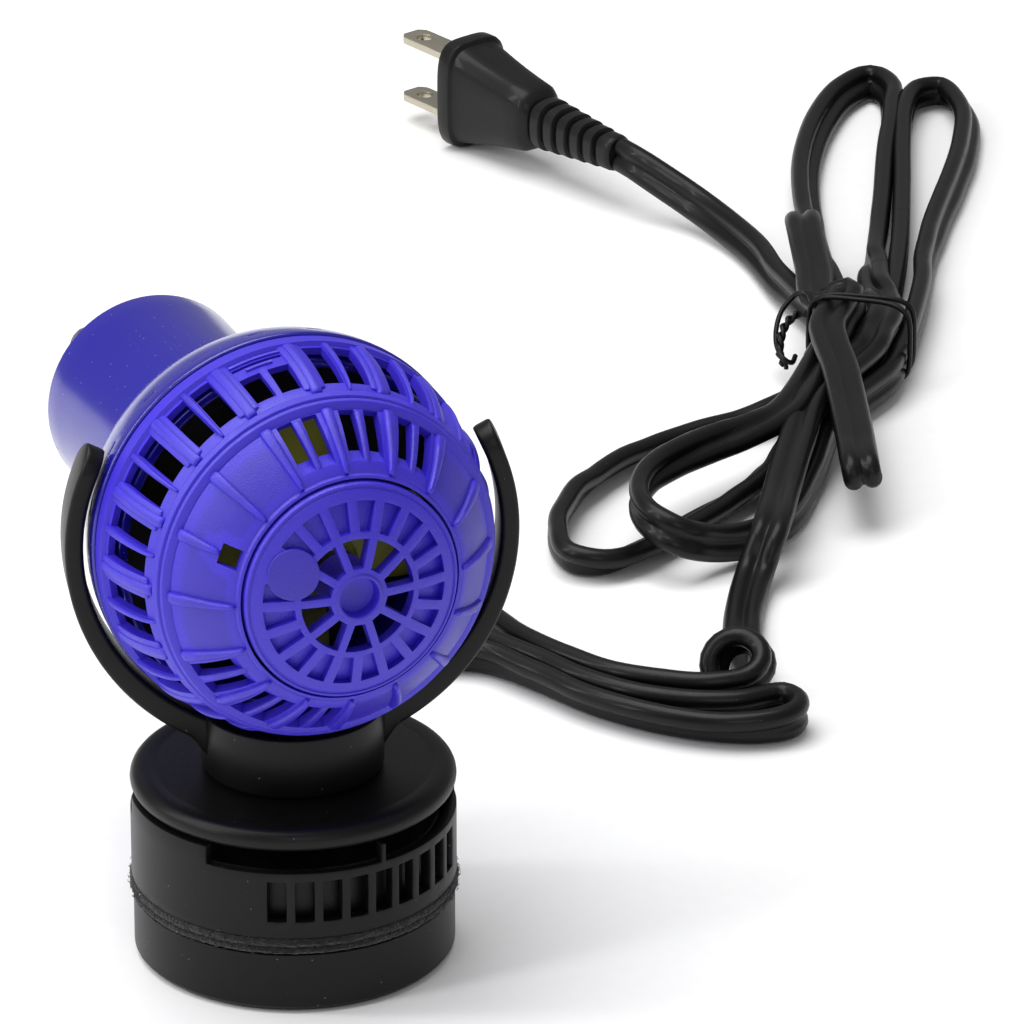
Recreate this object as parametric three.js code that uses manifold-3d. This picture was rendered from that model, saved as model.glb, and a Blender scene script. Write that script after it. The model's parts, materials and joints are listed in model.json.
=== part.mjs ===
// Wave maker pump for an aquarium: a ball-shaped propeller pump gripped by a swivelling yoke on a
// magnet mount. Millimetres, +Z up, origin at the bottom centre of the dry-side magnet puck.
// The pump blows towards -Y at rest and tilts about X; the yoke swivels about Z.
import * as THREE from "three";
import { mergeVertices } from "three/addons/utils/BufferGeometryUtils.js";
import Module from "manifold-3d";

const wasm = await Module();
wasm.setup();

// ---------------------------------------------------------------- driving dimensions
const GAP = 0.3; // between pieces that touch
const TURNED_SIDES = 32;
const FINE_SIDES = 48;

// Magnet mount
const PUCK_R = 26.9;
const PUCK_TOP = 10.6;
const PAD_R = 27.5;
const PAD_THICK = 1.1;
const RING_R = 27.2;
const RING_WALL = 2.0;
const RING_BOTTOM = 13.7;
const RING_TOP = 28.8;
const DISC_BOTTOM = 29.1;
const DISC_TOP = 33.0;
const PATTERN_TURN = THREE.MathUtils.degToRad(12 - 90); // direction of the window pattern's centre
const WINDOW_COUNT = 9;
const WINDOW_PITCH = THREE.MathUtils.degToRad(9.8);
const WINDOW_WIDTH = 3.2;
const WINDOW_LOW = 16.7;
const WINDOW_HIGH = 24.0;
const ARC_SLOT_LOW = 25.6;
const ARC_SLOT_SPAN = THREE.MathUtils.degToRad(64.5);
const ARC_RIB = THREE.MathUtils.degToRad(1.5);

// Yoke
const BALL_Z = 75;
const YOKE_IN = 34.5;
const YOKE_THICK = 3.1;
const YOKE_DEPTH = 8;
const YOKE_TURN = THREE.MathUtils.degToRad(-14);
const ARM_RISE = 17.5;
const NECK_R = 15.2;
const NECK_BOTTOM = 33.3;
const NECK_LIP = 44.1;

// Pump head, in its own frame: local +Z is the way it blows, the ball's centre is the origin
const HEAD_TIP = THREE.MathUtils.degToRad(2.2);
const REAR_BALL_R = 33.7;
const CAGE_R = 33.3;
const WALL = 2.0;
const SEAM = -2.8;
const TUBE_R = 17.6;
const TUBE_FILLET = 10;
const TUBE_FLARE = 0.8;
const REAR_END = -66.9;
const RIDGE_LOW = 15.6;
const RIDGE_HIGH = 17.6;
const RIDGE_PROUD = 0.4;
const SECTORS = 16;
const SECTOR = (2 * Math.PI) / SECTORS;
const GRILLE_R = 18.5;
const GRILLE_SEAT_R = 18.9;
const GRILLE_LOW = 25.2;
const GRILLE_RIM = 27.4;
const HUB_TOP = 31.0;
const SLOTTED_SECTORS = [2, 3, 4, 9, 10, 11];
const SHAFT_R = 1.5;

// Cord: flat twin lead, drawn as a plain tube of about the same section
const CORD_TUBE_R = 2.6;
const CORD_HEIGHT = 7.2;
const CORD_LAY = 3.6;

// ---------------------------------------------------------------- solids
function solid(geometry) {
  const bare = geometry.index ? geometry.toNonIndexed() : geometry.clone();
  bare.deleteAttribute("normal");
  bare.deleteAttribute("uv");
  const merged = mergeVertices(bare, 1e-4);
  const corners = merged.index.array;
  const kept = [];
  for (let i = 0; i < corners.length; i += 3) {
    const [a, b, c] = [corners[i], corners[i + 1], corners[i + 2]];
    if (a !== b && b !== c && c !== a) kept.push(a, b, c);
  }
  const build = (triangles) =>
    new wasm.Manifold(
      new wasm.Mesh({
        numProp: 3,
        vertProperties: merged.attributes.position.array,
        triVerts: new Uint32Array(triangles),
      }),
    );
  const made = build(kept);
  return made.volume() > 0 ? made : build(kept.reverse());
}

const join = (...bodies) => bodies.flat().reduce((sum, body) => sum.add(body));
const cut = (body, ...tools) => tools.flat().reduce((left, tool) => left.subtract(tool), body);

// A solid of revolution about Z from a closed list of [radius, height] corners.
function turned(profile, sides = TURNED_SIDES) {
  const points = [...profile, profile[0]].map(([r, z]) => new THREE.Vector2(r, z));
  return solid(new THREE.LatheGeometry(points, sides).rotateX(Math.PI / 2));
}

const ring = (inner, outer, low, high, sides) =>
  turned([[inner, low], [outer, low], [outer, high], [inner, high]], sides);

const disc = (radius, low, high, sides) => ring(0, radius, low, high, sides);

const ball = (radius, sides = FINE_SIDES) =>
  solid(new THREE.SphereGeometry(radius, sides, sides / 2).rotateX(Math.PI / 2));

function block([x0, y0, z0], [x1, y1, z1], turn = 0) {
  const box = new THREE.BoxGeometry(x1 - x0, y1 - y0, z1 - z0);
  box.translate((x0 + x1) / 2, (y0 + y1) / 2, (z0 + z1) / 2);
  return solid(box.rotateZ(turn));
}

// A flat outline of [x, y] corners, extruded upwards from low to high.
function slab(corners, low, high) {
  const shape = new THREE.Shape(corners.map(([x, y]) => new THREE.Vector2(x, y)));
  const geometry = new THREE.ExtrudeGeometry(shape, { depth: high - low, bevelEnabled: false });
  return solid(geometry.translate(0, 0, low));
}

// Corners along an arc of a circle about [cx, cy].
function arc(cx, cy, radius, from, to, steps) {
  return Array.from({ length: steps + 1 }, (_, i) => {
    const a = from + ((to - from) * i) / steps;
    return [cx + radius * Math.cos(a), cy + radius * Math.sin(a)];
  });
}

// The part of a circle of the given radius about the origin between two heights, as [r, z] corners.
const ballArc = (radius, fromZ, toZ, steps) =>
  arc(0, 0, radius, Math.asin(fromZ / radius), Math.asin(toZ / radius), steps);

function node(group, name, body, material) {
  const mesh = body.getMesh();
  const geometry = new THREE.BufferGeometry()
    .setAttribute("position", new THREE.BufferAttribute(mesh.vertProperties, 3))
    .setIndex(new THREE.BufferAttribute(mesh.triVerts, 1));
  geometry.computeVertexNormals();
  const part = new THREE.Mesh(geometry, material);
  part.name = name;
  group.add(part);
}

// ---------------------------------------------------------------- materials
const finish = (color, roughness, metalness = 0) =>
  new THREE.MeshStandardMaterial({ color, roughness, metalness });
const blackPlastic = finish(0x2b2928, 0.42);
const felt = finish(0x161616, 0.95);
const bluePlastic = finish(0x3d26cf, 0.28);
const blueGrille = finish(0x4430d8, 0.4);
const steel = finish(0xa8a8a4, 0.35, 1);
const ferrite = finish(0x3a3a3c, 0.6, 0.3);
const olivePlastic = finish(0x6e6e12, 0.5);
const ceramic = finish(0xe8e4da, 0.3);
const copper = finish(0xb06a3a, 0.35, 1);
const rubber = finish(0x1c1b1b, 0.6);
const cordVinyl = finish(0x2a2826, 0.45);
const bladeMetal = finish(0xc9c4a8, 0.3, 1);

// ---------------------------------------------------------------- dry-side magnet puck
function dryMagnet(group) {
  const wall = 2;
  const floor = 2;
  const edge = 0.8;
  const shell = turned([
    [0, 0], [PUCK_R - edge, 0], [PUCK_R, edge], [PUCK_R, PUCK_TOP],
    [PUCK_R - wall, PUCK_TOP], [PUCK_R - wall, floor], [0, floor],
  ], FINE_SIDES);
  node(group, "outer_magnet_case", shell, blackPlastic);
  node(group, "outer_backing_plate", disc(22, floor + GAP, 3.6), steel);
  node(group, "outer_magnet", disc(20, 3.9, 9.9), ferrite);
  const padLow = PUCK_TOP + GAP;
  node(group, "outer_felt_pad", disc(PAD_R, padLow, padLow + PAD_THICK, FINE_SIDES), felt);
}

// ---------------------------------------------------------------- wet-side magnet holder
function wetHolder(group) {
  const padHigh = RING_BOTTOM - GAP;
  node(group, "inner_foam_pad", disc(PAD_R, padHigh - PAD_THICK, padHigh, FINE_SIDES), felt);
  node(group, "holder_ring", holderRing(), blackPlastic);

  const bullnose = (DISC_TOP - DISC_BOTTOM) / 2;
  const rim = arc(RING_R - bullnose, DISC_BOTTOM + bullnose, bullnose, -Math.PI / 2, Math.PI / 2, 4);
  const screwHole = 2.3;
  const top = turned([[screwHole, DISC_BOTTOM], ...rim, [screwHole, DISC_TOP]], FINE_SIDES);
  node(group, "holder_top_disc", top, blackPlastic);

  const canLow = 14.0;
  const can = turned([
    [23.2, canLow], [24.4, canLow], [24.4, 24.6], [0, 24.6], [0, 23.4], [23.2, 23.4],
  ]);
  node(group, "inner_magnet_can", can, blackPlastic);
  node(group, "inner_magnet", disc(20, 15, 21), ferrite);
  node(group, "inner_backing_plate", disc(22, 21.4, 22.9), steel);
}

// The ring wall, with a row of upright windows and two long slots under the top disc, on two sides.
function holderRing() {
  const inner = RING_R - RING_WALL;
  const wall = ring(inner, RING_R, RING_BOTTOM, RING_TOP, FINE_SIDES);
  const tools = [];
  for (const side of [PATTERN_TURN, PATTERN_TURN + Math.PI]) {
    for (let i = 0; i < WINDOW_COUNT; i += 1) {
      const turn = side + (i - (WINDOW_COUNT - 1) / 2) * WINDOW_PITCH;
      const half = WINDOW_WIDTH / 2;
      tools.push(block([inner - 1, -half, WINDOW_LOW], [RING_R + 1, half, WINDOW_HIGH], turn));
    }
    for (const way of [-1, 1]) {
      const start = side + (way * ARC_RIB) / 2;
      const end = start + way * ARC_SLOT_SPAN;
      const sector = [
        ...arc(0, 0, inner - 1, start, end, 10),
        ...arc(0, 0, RING_R + 1, end, start, 10),
      ];
      tools.push(slab(way > 0 ? sector.reverse() : sector, ARC_SLOT_LOW, RING_TOP + 1));
    }
  }
  return cut(wall, tools);
}

// ---------------------------------------------------------------- swivel screw and yoke
function swivelScrew(group) {
  const headLow = 25.3;
  const headHigh = 27.6;
  const shank = 1.9;
  const tip = 38.4;
  const screw = turned([
    [0, headLow], [4.2, headLow], [4.6, headHigh], [shank, headHigh], [shank, tip], [0, tip],
  ]);
  node(group, "swivel_screw", screw, steel);
  node(group, "swivel_washer", ring(shank + GAP, 6.5, headHigh + GAP, DISC_BOTTOM - GAP), steel);
}

function yokeBody() {
  const tipAngle = Math.asin(ARM_RISE / (YOKE_IN + YOKE_THICK / 2));
  const webAngle = THREE.MathUtils.degToRad(44); // from straight down, where the web joins the band
  const steps = 16;
  const outer = [];
  for (let i = 0; i <= steps; i += 1) {
    const fromDown = webAngle + ((Math.PI / 2 + tipAngle - webAngle) * i) / steps;
    const thicker = 1.4 * Math.max(0, Math.cos(fromDown)) ** 2;
    const radius = YOKE_IN + YOKE_THICK + thicker;
    outer.push([radius * Math.sin(fromDown), -radius * Math.cos(fromDown)]);
  }
  const neckLow = NECK_BOTTOM - BALL_Z;
  const web = new THREE.QuadraticBezierCurve(
    new THREE.Vector2(NECK_R - 0.6, neckLow + 3.2),
    new THREE.Vector2(NECK_R + 1.6, -33.4),
    new THREE.Vector2(...outer[0]),
  );
  const webCorners = web.getPoints(6).slice(0, -1).map((p) => [p.x, p.y]);
  const rightSide = [[NECK_R - 0.6, neckLow], ...webCorners, ...outer];
  const inside = arc(0, 0, YOKE_IN - 1.5, tipAngle, Math.PI - tipAngle, 2);
  const leftSide = rightSide.map(([x, y]) => [-x, y]).reverse();
  const corners = [...rightSide, inside[0], [0, 12], inside[2], ...leftSide];
  const shape = new THREE.Shape(corners.map(([x, y]) => new THREE.Vector2(x, y)));
  const half = YOKE_DEPTH / 2;
  const plate = new THREE.ExtrudeGeometry(shape, { depth: YOKE_DEPTH, bevelEnabled: false });
  const band = solid(plate.translate(0, 0, -half).rotateX(Math.PI / 2));
  // Rounded arm ends, as seen from the side
  const stadium = new THREE.Shape();
  stadium.moveTo(-half, -60);
  stadium.lineTo(half, -60);
  stadium.lineTo(half, ARM_RISE - half);
  stadium.absarc(0, ARM_RISE - half, half, 0, Math.PI, false);
  const bar = new THREE.ExtrudeGeometry(stadium, { depth: 90, bevelEnabled: false, curveSegments: 10 });
  bar.translate(0, 0, -45).rotateX(Math.PI / 2).rotateZ(Math.PI / 2);
  const neck = disc(NECK_R, NECK_BOTTOM - BALL_Z, NECK_LIP - BALL_Z, FINE_SIDES);
  const screwHole = disc(2.2, NECK_BOTTOM - BALL_Z - 1, 38.8 - BALL_Z);
  return cut(join(band.intersect(solid(bar)), neck), ball(YOKE_IN), screwHole);
}

// ---------------------------------------------------------------- pump head
function rearHousing() {
  const shell = (radius, tubeRadius, fillet, flare, end) => {
    const centreR = TUBE_R + TUBE_FILLET;
    const centreZ = -Math.sqrt((REAR_BALL_R + TUBE_FILLET) ** 2 - centreR ** 2);
    const meet = Math.atan2(-centreZ, -centreR);
    return [
      ...ballArc(radius, SEAM - 0.15, (centreZ * radius) / (REAR_BALL_R + TUBE_FILLET), 5),
      ...arc(centreR, centreZ, fillet, meet, Math.PI, 3).slice(1),
      [tubeRadius, centreZ - 12],
      [tubeRadius + flare, end],
    ];
  };
  const outside = shell(REAR_BALL_R, TUBE_R, TUBE_FILLET, TUBE_FLARE, REAR_END + 1);
  const inside = shell(REAR_BALL_R - WALL, TUBE_R - WALL, TUBE_FILLET + WALL, 0, -64.5);
  const rim = [[TUBE_R + TUBE_FLARE - 0.7, REAR_END], [16.4, REAR_END], [16.4, -64.5]];
  const spigot = [[28.9, -8.5], [28.9, 1.5], [30.6, 1.5], [30.6, SEAM - 0.15]];
  const innerWall = inside.reverse().filter(([, z]) => z < -9);
  return turned([...outside, ...rim, ...innerWall, ...spigot], FINE_SIDES);
}

function motor(group) {
  node(group, "rear_housing", rearHousing(), bluePlastic);
  const capHole = 4.3;
  const cap = turned([[capHole, -66.6], [15.2, -66.6], [16.1, -66.1], [16.1, -64.8], [capHole, -64.8]]);
  node(group, "rear_cap", cap, bluePlastic);
  node(group, "cable_gland", cableGland(), rubber);
  // Bulkhead between motor and impeller, with the blind well that the rotor magnet runs in
  const bulkhead = turned([
    [8.1, -11], [28.3, -11], [28.3, -9.4], [8.1, -9.4],
  ]);
  const well = turned([
    [0, -48], [9.6, -48], [9.6, -10], [8.1, -10], [8.1, -46.5], [0, -46.5],
  ]);
  node(group, "rotor_well", join(bulkhead, well), blackPlastic);
  const legs = new THREE.Shape([
    [-14.2, -58], [14.2, -58], [14.2, -12.5], [10, -12.5], [10, -54], [-10, -54], [-10, -12.5],
    [-14.2, -12.5],
  ].map(([x, y]) => new THREE.Vector2(x, y)));
  const core = new THREE.ExtrudeGeometry(legs, { depth: 11, bevelEnabled: false });
  node(group, "stator_core", solid(core.translate(0, 0, -5.5).rotateX(Math.PI / 2)), steel);
  const coil = cut(
    block([-9.4, -8.2, -60.7], [9.4, 8.2, -51.3]),
    block([-10, -5.8, -58.3], [10, 5.8, -53.7]),
  );
  node(group, "stator_coil", coil, copper);
  node(group, "rear_shaft_bush", ring(SHAFT_R + GAP, 4, -46.2, -43), rubber);
  node(group, "ceramic_shaft", disc(SHAFT_R, -46, 26, 24), ceramic);
}

// Tapered, ribbed strain relief with an inner flange, through the hole in the rear cap.
function cableGland() {
  const ribs = 5;
  const start = -66.9;
  const pitch = 3.6;
  const profile = [[0, -62.6], [0, -87], [4.2, -87]];
  for (let i = ribs - 1; i >= 0; i -= 1) {
    const z = start - i * pitch;
    const radius = 6.4 - i * 0.45;
    profile.push([radius - 0.9, z - pitch + 0.2], [radius - 0.9, z - 2.4], [radius, z - 2.2], [radius, z]);
  }
  profile.push([4, start], [4, -64.5], [6, -64.5], [6, -62.6]);
  return turned(profile, 16);
}

// ---------------------------------------------------------------- front cage and outlet grille
function frontCage() {
  const dome = CAGE_R - 0.3;
  const seatTop = 26.6;
  const outside = [
    ...ballArc(CAGE_R, SEAM + 0.15, RIDGE_LOW, 4),
    ...ballArc(CAGE_R + RIDGE_PROUD, RIDGE_LOW, RIDGE_HIGH, 1),
    ...ballArc(dome, RIDGE_HIGH, Math.sqrt(dome ** 2 - (GRILLE_SEAT_R + 0.4) ** 2), 2),
  ];
  const inside = ballArc(CAGE_R - WALL, SEAM + 0.15, 23.6, 4).reverse();
  const seat = [[GRILLE_SEAT_R, seatTop], [GRILLE_SEAT_R, 24.9], [16.8, 24.9], [16.8, 23.6]];
  const shell = turned([...outside, ...seat, ...inside], FINE_SIDES);
  const ribs = [];
  const windows = [];
  for (let i = 0; i < SECTORS; i += 1) {
    ribs.push(domeRib(i * SECTOR));
    for (const quarter of [0.3, 0.7]) {
      const half = 1.85;
      windows.push(block([24, -half, 1.6], [36, half, 12.3], (i + quarter) * SECTOR));
      if (!SLOTTED_SECTORS.includes(i)) continue;
      windows.push(block([21.4, -1.35, 12], [27.6, 1.35, 34], (i + quarter) * SECTOR));
    }
  }
  const latchHole = block([19.5, -1.75, 12], [22.9, 1.75, 34], 7 * SECTOR);
  return cut(join(shell, ribs), windows, latchHole);
}

// A narrow raised rib that runs from the ridge ring towards the grille.
function domeRib(turn) {
  const foot = CAGE_R - 1.2;
  const crest = CAGE_R + 0.35;
  const from = Math.asin(RIDGE_HIGH / CAGE_R) - 0.02;
  const to = Math.acos(20.6 / CAGE_R);
  const corners = [...arc(0, 0, crest, from, to, 2), ...arc(0, 0, foot, to, from, 2)];
  const shape = new THREE.Shape(corners.map(([x, y]) => new THREE.Vector2(x, y)));
  const width = 1.5;
  const rib = new THREE.ExtrudeGeometry(shape, { depth: width, bevelEnabled: false });
  return solid(rib.translate(0, 0, -width / 2).rotateX(Math.PI / 2).rotateZ(turn));
}

// Shallow domed disc with two rings of slots, a hub recess and a boss for the shaft behind it.
function outletGrille() {
  const thick = 2;
  const face = (r) => HUB_TOP - (HUB_TOP - GRILLE_RIM) * (r / GRILLE_R) ** 2;
  const front = [18.1, 12, 3.35].map((r) => [r, face(r)]);
  const back = [4.6, 12].map((r) => [r, face(r) - thick]);
  const plate = turned([
    [0, 29.4], [1.9, 29.4], [1.9, 22.4], [4.6, 22.4], ...back, [GRILLE_R, GRILLE_LOW],
    [GRILLE_R, GRILLE_RIM - 0.4], ...front, [3.35, 29.9], [0, 29.9],
  ], FINE_SIDES);
  const tools = [];
  for (const [count, from, to] of [[10, 5.2, 9.7], [20, 10.8, 15.8]]) {
    for (let i = 0; i < count; i += 1) {
      const middle = ((i + 0.5) * 2 * Math.PI) / count;
      const underPad = count === 20 && Math.abs(middle - THREE.MathUtils.degToRad(154)) < 0.32;
      if (!underPad) tools.push(grilleSlot(count, from, to, middle));
    }
  }
  return cut(plate, tools);
}

function grilleSlot(count, from, to, turn) {
  const spoke = 1.4;
  const halfAt = (r) => r * Math.tan(Math.PI / count) - spoke / 2;
  const corners = [[from, -halfAt(from)], [to, -halfAt(to)], [to, halfAt(to)], [from, halfAt(from)]];
  const shape = new THREE.Shape(corners.map(([x, y]) => new THREE.Vector2(x, y)));
  const tool = new THREE.ExtrudeGeometry(shape, { depth: 12, bevelEnabled: false });
  return solid(tool.translate(0, 0, 24).rotateZ(turn));
}

// ---------------------------------------------------------------- rotor
function rotor(group) {
  const bore = SHAFT_R + 0.25;
  node(group, "rotor_magnet", ring(bore, 7.6, -42, -6), ferrite);
  const hub = ring(bore, 5.6, -5.7, 18);
  const blades = [];
  const count = 4;
  for (let i = 0; i < count; i += 1) blades.push(blade((i * 2 * Math.PI) / count));
  node(group, "impeller", join(hub, blades), olivePlastic);
  node(group, "impeller_washer", ring(bore, 3.6, 18.3, 19.1), ceramic);
}

// A twisted propeller blade: steep at the hub, flatter towards the tip.
function blade(turn) {
  const rootR = 4.5;
  const tipR = 22.5;
  const plate = new THREE.BoxGeometry(tipR - rootR, 1.3, 15, 6, 1, 4);
  plate.translate((rootR + tipR) / 2, 0, 0);
  const corner = new THREE.Vector3();
  const place = plate.attributes.position;
  for (let i = 0; i < place.count; i += 1) {
    corner.fromBufferAttribute(place, i);
    const along = (corner.x - rootR) / (tipR - rootR);
    const twist = THREE.MathUtils.degToRad(25 + 30 * along);
    corner.z *= 0.75 + 0.35 * Math.sin(Math.PI * Math.min(1, along * 0.9 + 0.1));
    const { y, z } = corner;
    corner.y = y * Math.cos(twist) - z * Math.sin(twist);
    corner.z = y * Math.sin(twist) + z * Math.cos(twist) + 7;
    place.setXYZ(i, corner.x, corner.y, corner.z);
  }
  return solid(plate.rotateZ(turn));
}

// ---------------------------------------------------------------- cord
// From the gland, down behind the pump and along the surface to the folded stretch.
const LEAD_ROUTE = [
  [0, 87.5, 71.6], [0, 92, 71.3], [0, 98, 69], [0.5, 103, 64], [1.2, 105.6, 56], [2.5, 106, 44],
  [5, 105, 30], [9.5, 103, 17], [17.5, 100, 8], [28, 97.2, 4.4], [38.3, 95.2, 3.7], [48.3, 93.9, 3.6],
  [54.5, 91.2, 3.6],
];
// From the folded stretch to the tied bundle.
const LINK_ROUTE = [[111.4, 66.6, 3.6], [114.6, 74.2, 3.6], [119.8, 84.3, 3.6], [124.9, 92.3, 3.6]];
// From the tied bundle to the plug.
const TAIL_ROUTE = [
  [186, 213.2, 4.2], [188.2, 221.4, 4.2], [190.4, 236.4, 3.8], [190, 249, 4.2], [187.4, 259.4, 6],
  [183, 267.2, 9], [180.1, 272, 10.9], [178.8, 275.9, 11.5],
];
// Middle line of the folded stretch, seen from above.
const HANK_LINE = [[62.6, 111.5], [70.5, 90], [76.6, 73.5], [84, 60.5], [93.5, 51], [103.6, 46.2]];
// Middle line of the small ring at the folded stretch's end.
const RING_LINE = [
  [110.8, 55.4], [109.6, 58.6], [106.5, 59.9], [103.4, 58.6], [102.2, 55.5], [103.4, 52.4], [106.5, 51.1],
  [109.6, 52.4],
];
// Middle lines of the tied bundle's loops, seen from above.
const BUNDLE_LOOPS = [
  [[170, 168], [149.5, 159.6], [135.2, 157], [119.4, 148.9], [107.1, 137.2], [100.7, 125.3],
    [99.4, 115.3], [104.2, 111.4], [113.4, 114.3], [126.2, 121.5], [143.1, 132.1], [160, 148]],
  [[176, 166], [170, 153], [155.5, 132.4], [142.6, 116.6], [133.7, 111.1], [125, 108],
    [116.8, 105.8], [113.3, 111.5], [115.1, 121.5], [120.9, 129.8], [128.9, 135.4], [138.1, 139.5],
    [147.6, 142.6], [158, 148]],
  [[190, 196], [203.3, 233.7], [211.1, 257.8], [220.1, 277.5], [232.3, 296.3], [242.5, 307.9],
    [250.4, 312], [252.3, 306.3], [246.5, 292.8], [235.1, 271.2], [223.1, 248.2], [211.4, 225.8],
    [200, 204]],
  [[202, 200], [213.5, 221.5], [230.8, 254.3], [240.9, 275.9], [249.9, 293.8], [256.4, 302.2],
    [261.8, 301.1], [260.7, 288.1], [252.8, 271], [242, 254.3], [231.2, 236.6], [220.5, 219],
    [209, 199]],
];
// Middle line of the single strand that joins the bundle from the folded stretch.
const STRAND_LINE = [[127.4, 95.9], [143.8, 119.8], [153.5, 135.6], [167.3, 157.7]];
// Middle line of the doubled end that lies on top of the bundle.
const FOLD_LINE = [
  [196.9, 227.7], [188.1, 203.9], [182.8, 181.7], [171.9, 155.7], [166.8, 140.9], [158.5, 117.7],
];
const WAIST = [[171.6, 157.7], [203, 201.9]];
const WAIST_TURN = Math.atan2(WAIST[1][1] - WAIST[0][1], WAIST[1][0] - WAIST[0][0]);
const TIE_AT = WAIST[0].map((start, axis) => start + 0.48 * (WAIST[1][axis] - start));
const PLUG_HEIGHT = 11.5;
const PLUG_BACK = new THREE.Vector3(178.4, 277.1, PLUG_HEIGHT);
const PLUG_TURN = Math.atan2(44.5, -14.1);

function tube(route) {
  const path = new THREE.CatmullRomCurve3(route.map((p) => new THREE.Vector3(...p)), false, "centripetal");
  const section = new THREE.Shape(
    arc(0, 0, CORD_TUBE_R, 0, 2 * Math.PI, 8).slice(0, 8).map(([x, y]) => new THREE.Vector2(x, y)),
  );
  const steps = Math.ceil(path.getLength() / (4.4 * CORD_TUBE_R));
  return solid(new THREE.ExtrudeGeometry(section, { steps, extrudePath: path, bevelEnabled: false }));
}

// A strip of the given width along a smooth line on the surface, with round ends.
function strip(line, width, low, high, closed = false) {
  const points = line.map(([x, y]) => new THREE.Vector3(x, y, 0));
  const curve = new THREE.CatmullRomCurve3(points, closed, "centripetal");
  const steps = line.length * (closed ? 3 : 2);
  const sides = [[], []];
  for (let i = 0; i <= steps; i += 1) {
    const p = curve.getPointAt(i / steps);
    const t = curve.getTangentAt(i / steps);
    sides[0].push([p.x + (t.y * width) / 2, p.y - (t.x * width) / 2]);
    sides[1].push([p.x - (t.y * width) / 2, p.y + (t.x * width) / 2]);
  }
  if (closed) {
    const plates = [];
    for (let i = 0; i < steps; i += 1) {
      plates.push(slab([sides[0][i], sides[0][i + 1], sides[1][i + 1], sides[1][i]], low, high));
    }
    return join(plates);
  }
  const end = (at, way) => {
    const p = curve.getPointAt(at);
    const t = curve.getTangentAt(at);
    const aim = Math.atan2(t.y, t.x) + (way > 0 ? -Math.PI / 2 : Math.PI / 2);
    return arc(p.x, p.y, width / 2, aim, aim + Math.PI, 6).slice(1, -1);
  };
  return slab([...sides[0], ...end(1, 1), ...sides[1].reverse(), ...end(0, -1)], low, high);
}

function cordBundle() {
  const low = CORD_HEIGHT;
  const loops = BUNDLE_LOOPS.map((line) => strip(line, 6, 0, low, true));
  const strand = strip(STRAND_LINE, 6, 0, low);
  const fold = strip(FOLD_LINE, 8, low - 0.5, 14.2);
  const groove = new THREE.BoxGeometry(3, 60, 40).rotateZ(WAIST_TURN).translate(...TIE_AT, 0);
  const waist = strip(WAIST, 18.4, 1.8, 14.5);
  return join(cut(join(loops, strand, fold), solid(groove)), waist);
}

// Wire tie wrapped round the bundle's waist.
function twistTie() {
  const frame = (halfWidth, low, high, thick) =>
    new THREE.BoxGeometry(thick, 2 * halfWidth, high - low).translate(0, 0, (high + low) / 2);
  const body = cut(solid(frame(11, 0.1, 16.2, 1.3)), solid(frame(9.6, 1.4, 14.9, 4)));
  return body.rotate([0, 0, THREE.MathUtils.radToDeg(WAIST_TURN)]).translate([...TIE_AT, 0]);
}

function cord(group) {
  node(group, "cord_lead", tube(LEAD_ROUTE), cordVinyl);
  const folded = join(strip(HANK_LINE, 17, 0, 8), strip(RING_LINE, 5, 0, 13, true));
  node(group, "cord_folded_stretch", folded, cordVinyl);
  node(group, "cord_link", tube(LINK_ROUTE), cordVinyl);
  node(group, "cord_bundle", cordBundle(), cordVinyl);
  node(group, "cord_tail", tube(TAIL_ROUTE), cordVinyl);
  node(group, "cord_tie", twistTie(), blackPlastic);
}

// Two-blade plug standing on the long edge of its flange. Local +X runs from the cord to the blades.
function plug(group) {
  const place = new THREE.Group();
  place.position.copy(PLUG_BACK);
  place.rotation.z = PLUG_TURN;
  group.add(place);
  const reliefLength = 24;
  const stations = [
    [0, 3.6, 3.2], [reliefLength, 5.6, 5.0], [reliefLength + 1.5, 6.6, 5.6], [reliefLength + 18, 9.8, 6.6],
    [reliefLength + 20.5, 10.4, 7.0], [reliefLength + 20.7, 11.5, 7.8], [reliefLength + 24.5, 11.5, 7.8],
  ];
  const sides = 16;
  const section = ([x, halfHeight, halfWidth]) =>
    Array.from({ length: sides }, (_, i) => {
      const a = (i * 2 * Math.PI) / sides;
      const squarish = 1 / (Math.abs(Math.cos(a)) ** 4 + Math.abs(Math.sin(a)) ** 4) ** 0.25;
      return [x, halfWidth * squarish * Math.cos(a), halfHeight * squarish * Math.sin(a)];
    });
  const body = skin(stations.map(section));
  const face = stations.at(-1)[0];
  const bladeGap = 12.7;
  const slots = [-1, 1].map((side) =>
    block([face - 5, -3.6, (side * bladeGap) / 2 - 1.1], [face + 1, 3.6, (side * bladeGap) / 2 + 1.1]));
  node(place, "plug_body", cut(body, slots), cordVinyl);
  for (const [name, side] of [["plug_blade_lower", -1], ["plug_blade_upper", 1]]) {
    const middle = (side * bladeGap) / 2;
    const strap = block([face - 4.6, -3.175, middle - 0.75], [face + 17.5, 3.175, middle + 0.75]);
    const eye = disc(1.6, middle - 2, middle + 2, 16).translate([face + 13, 0, 0]);
    node(place, name, cut(strap, eye), bladeMetal);
  }
}

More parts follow.
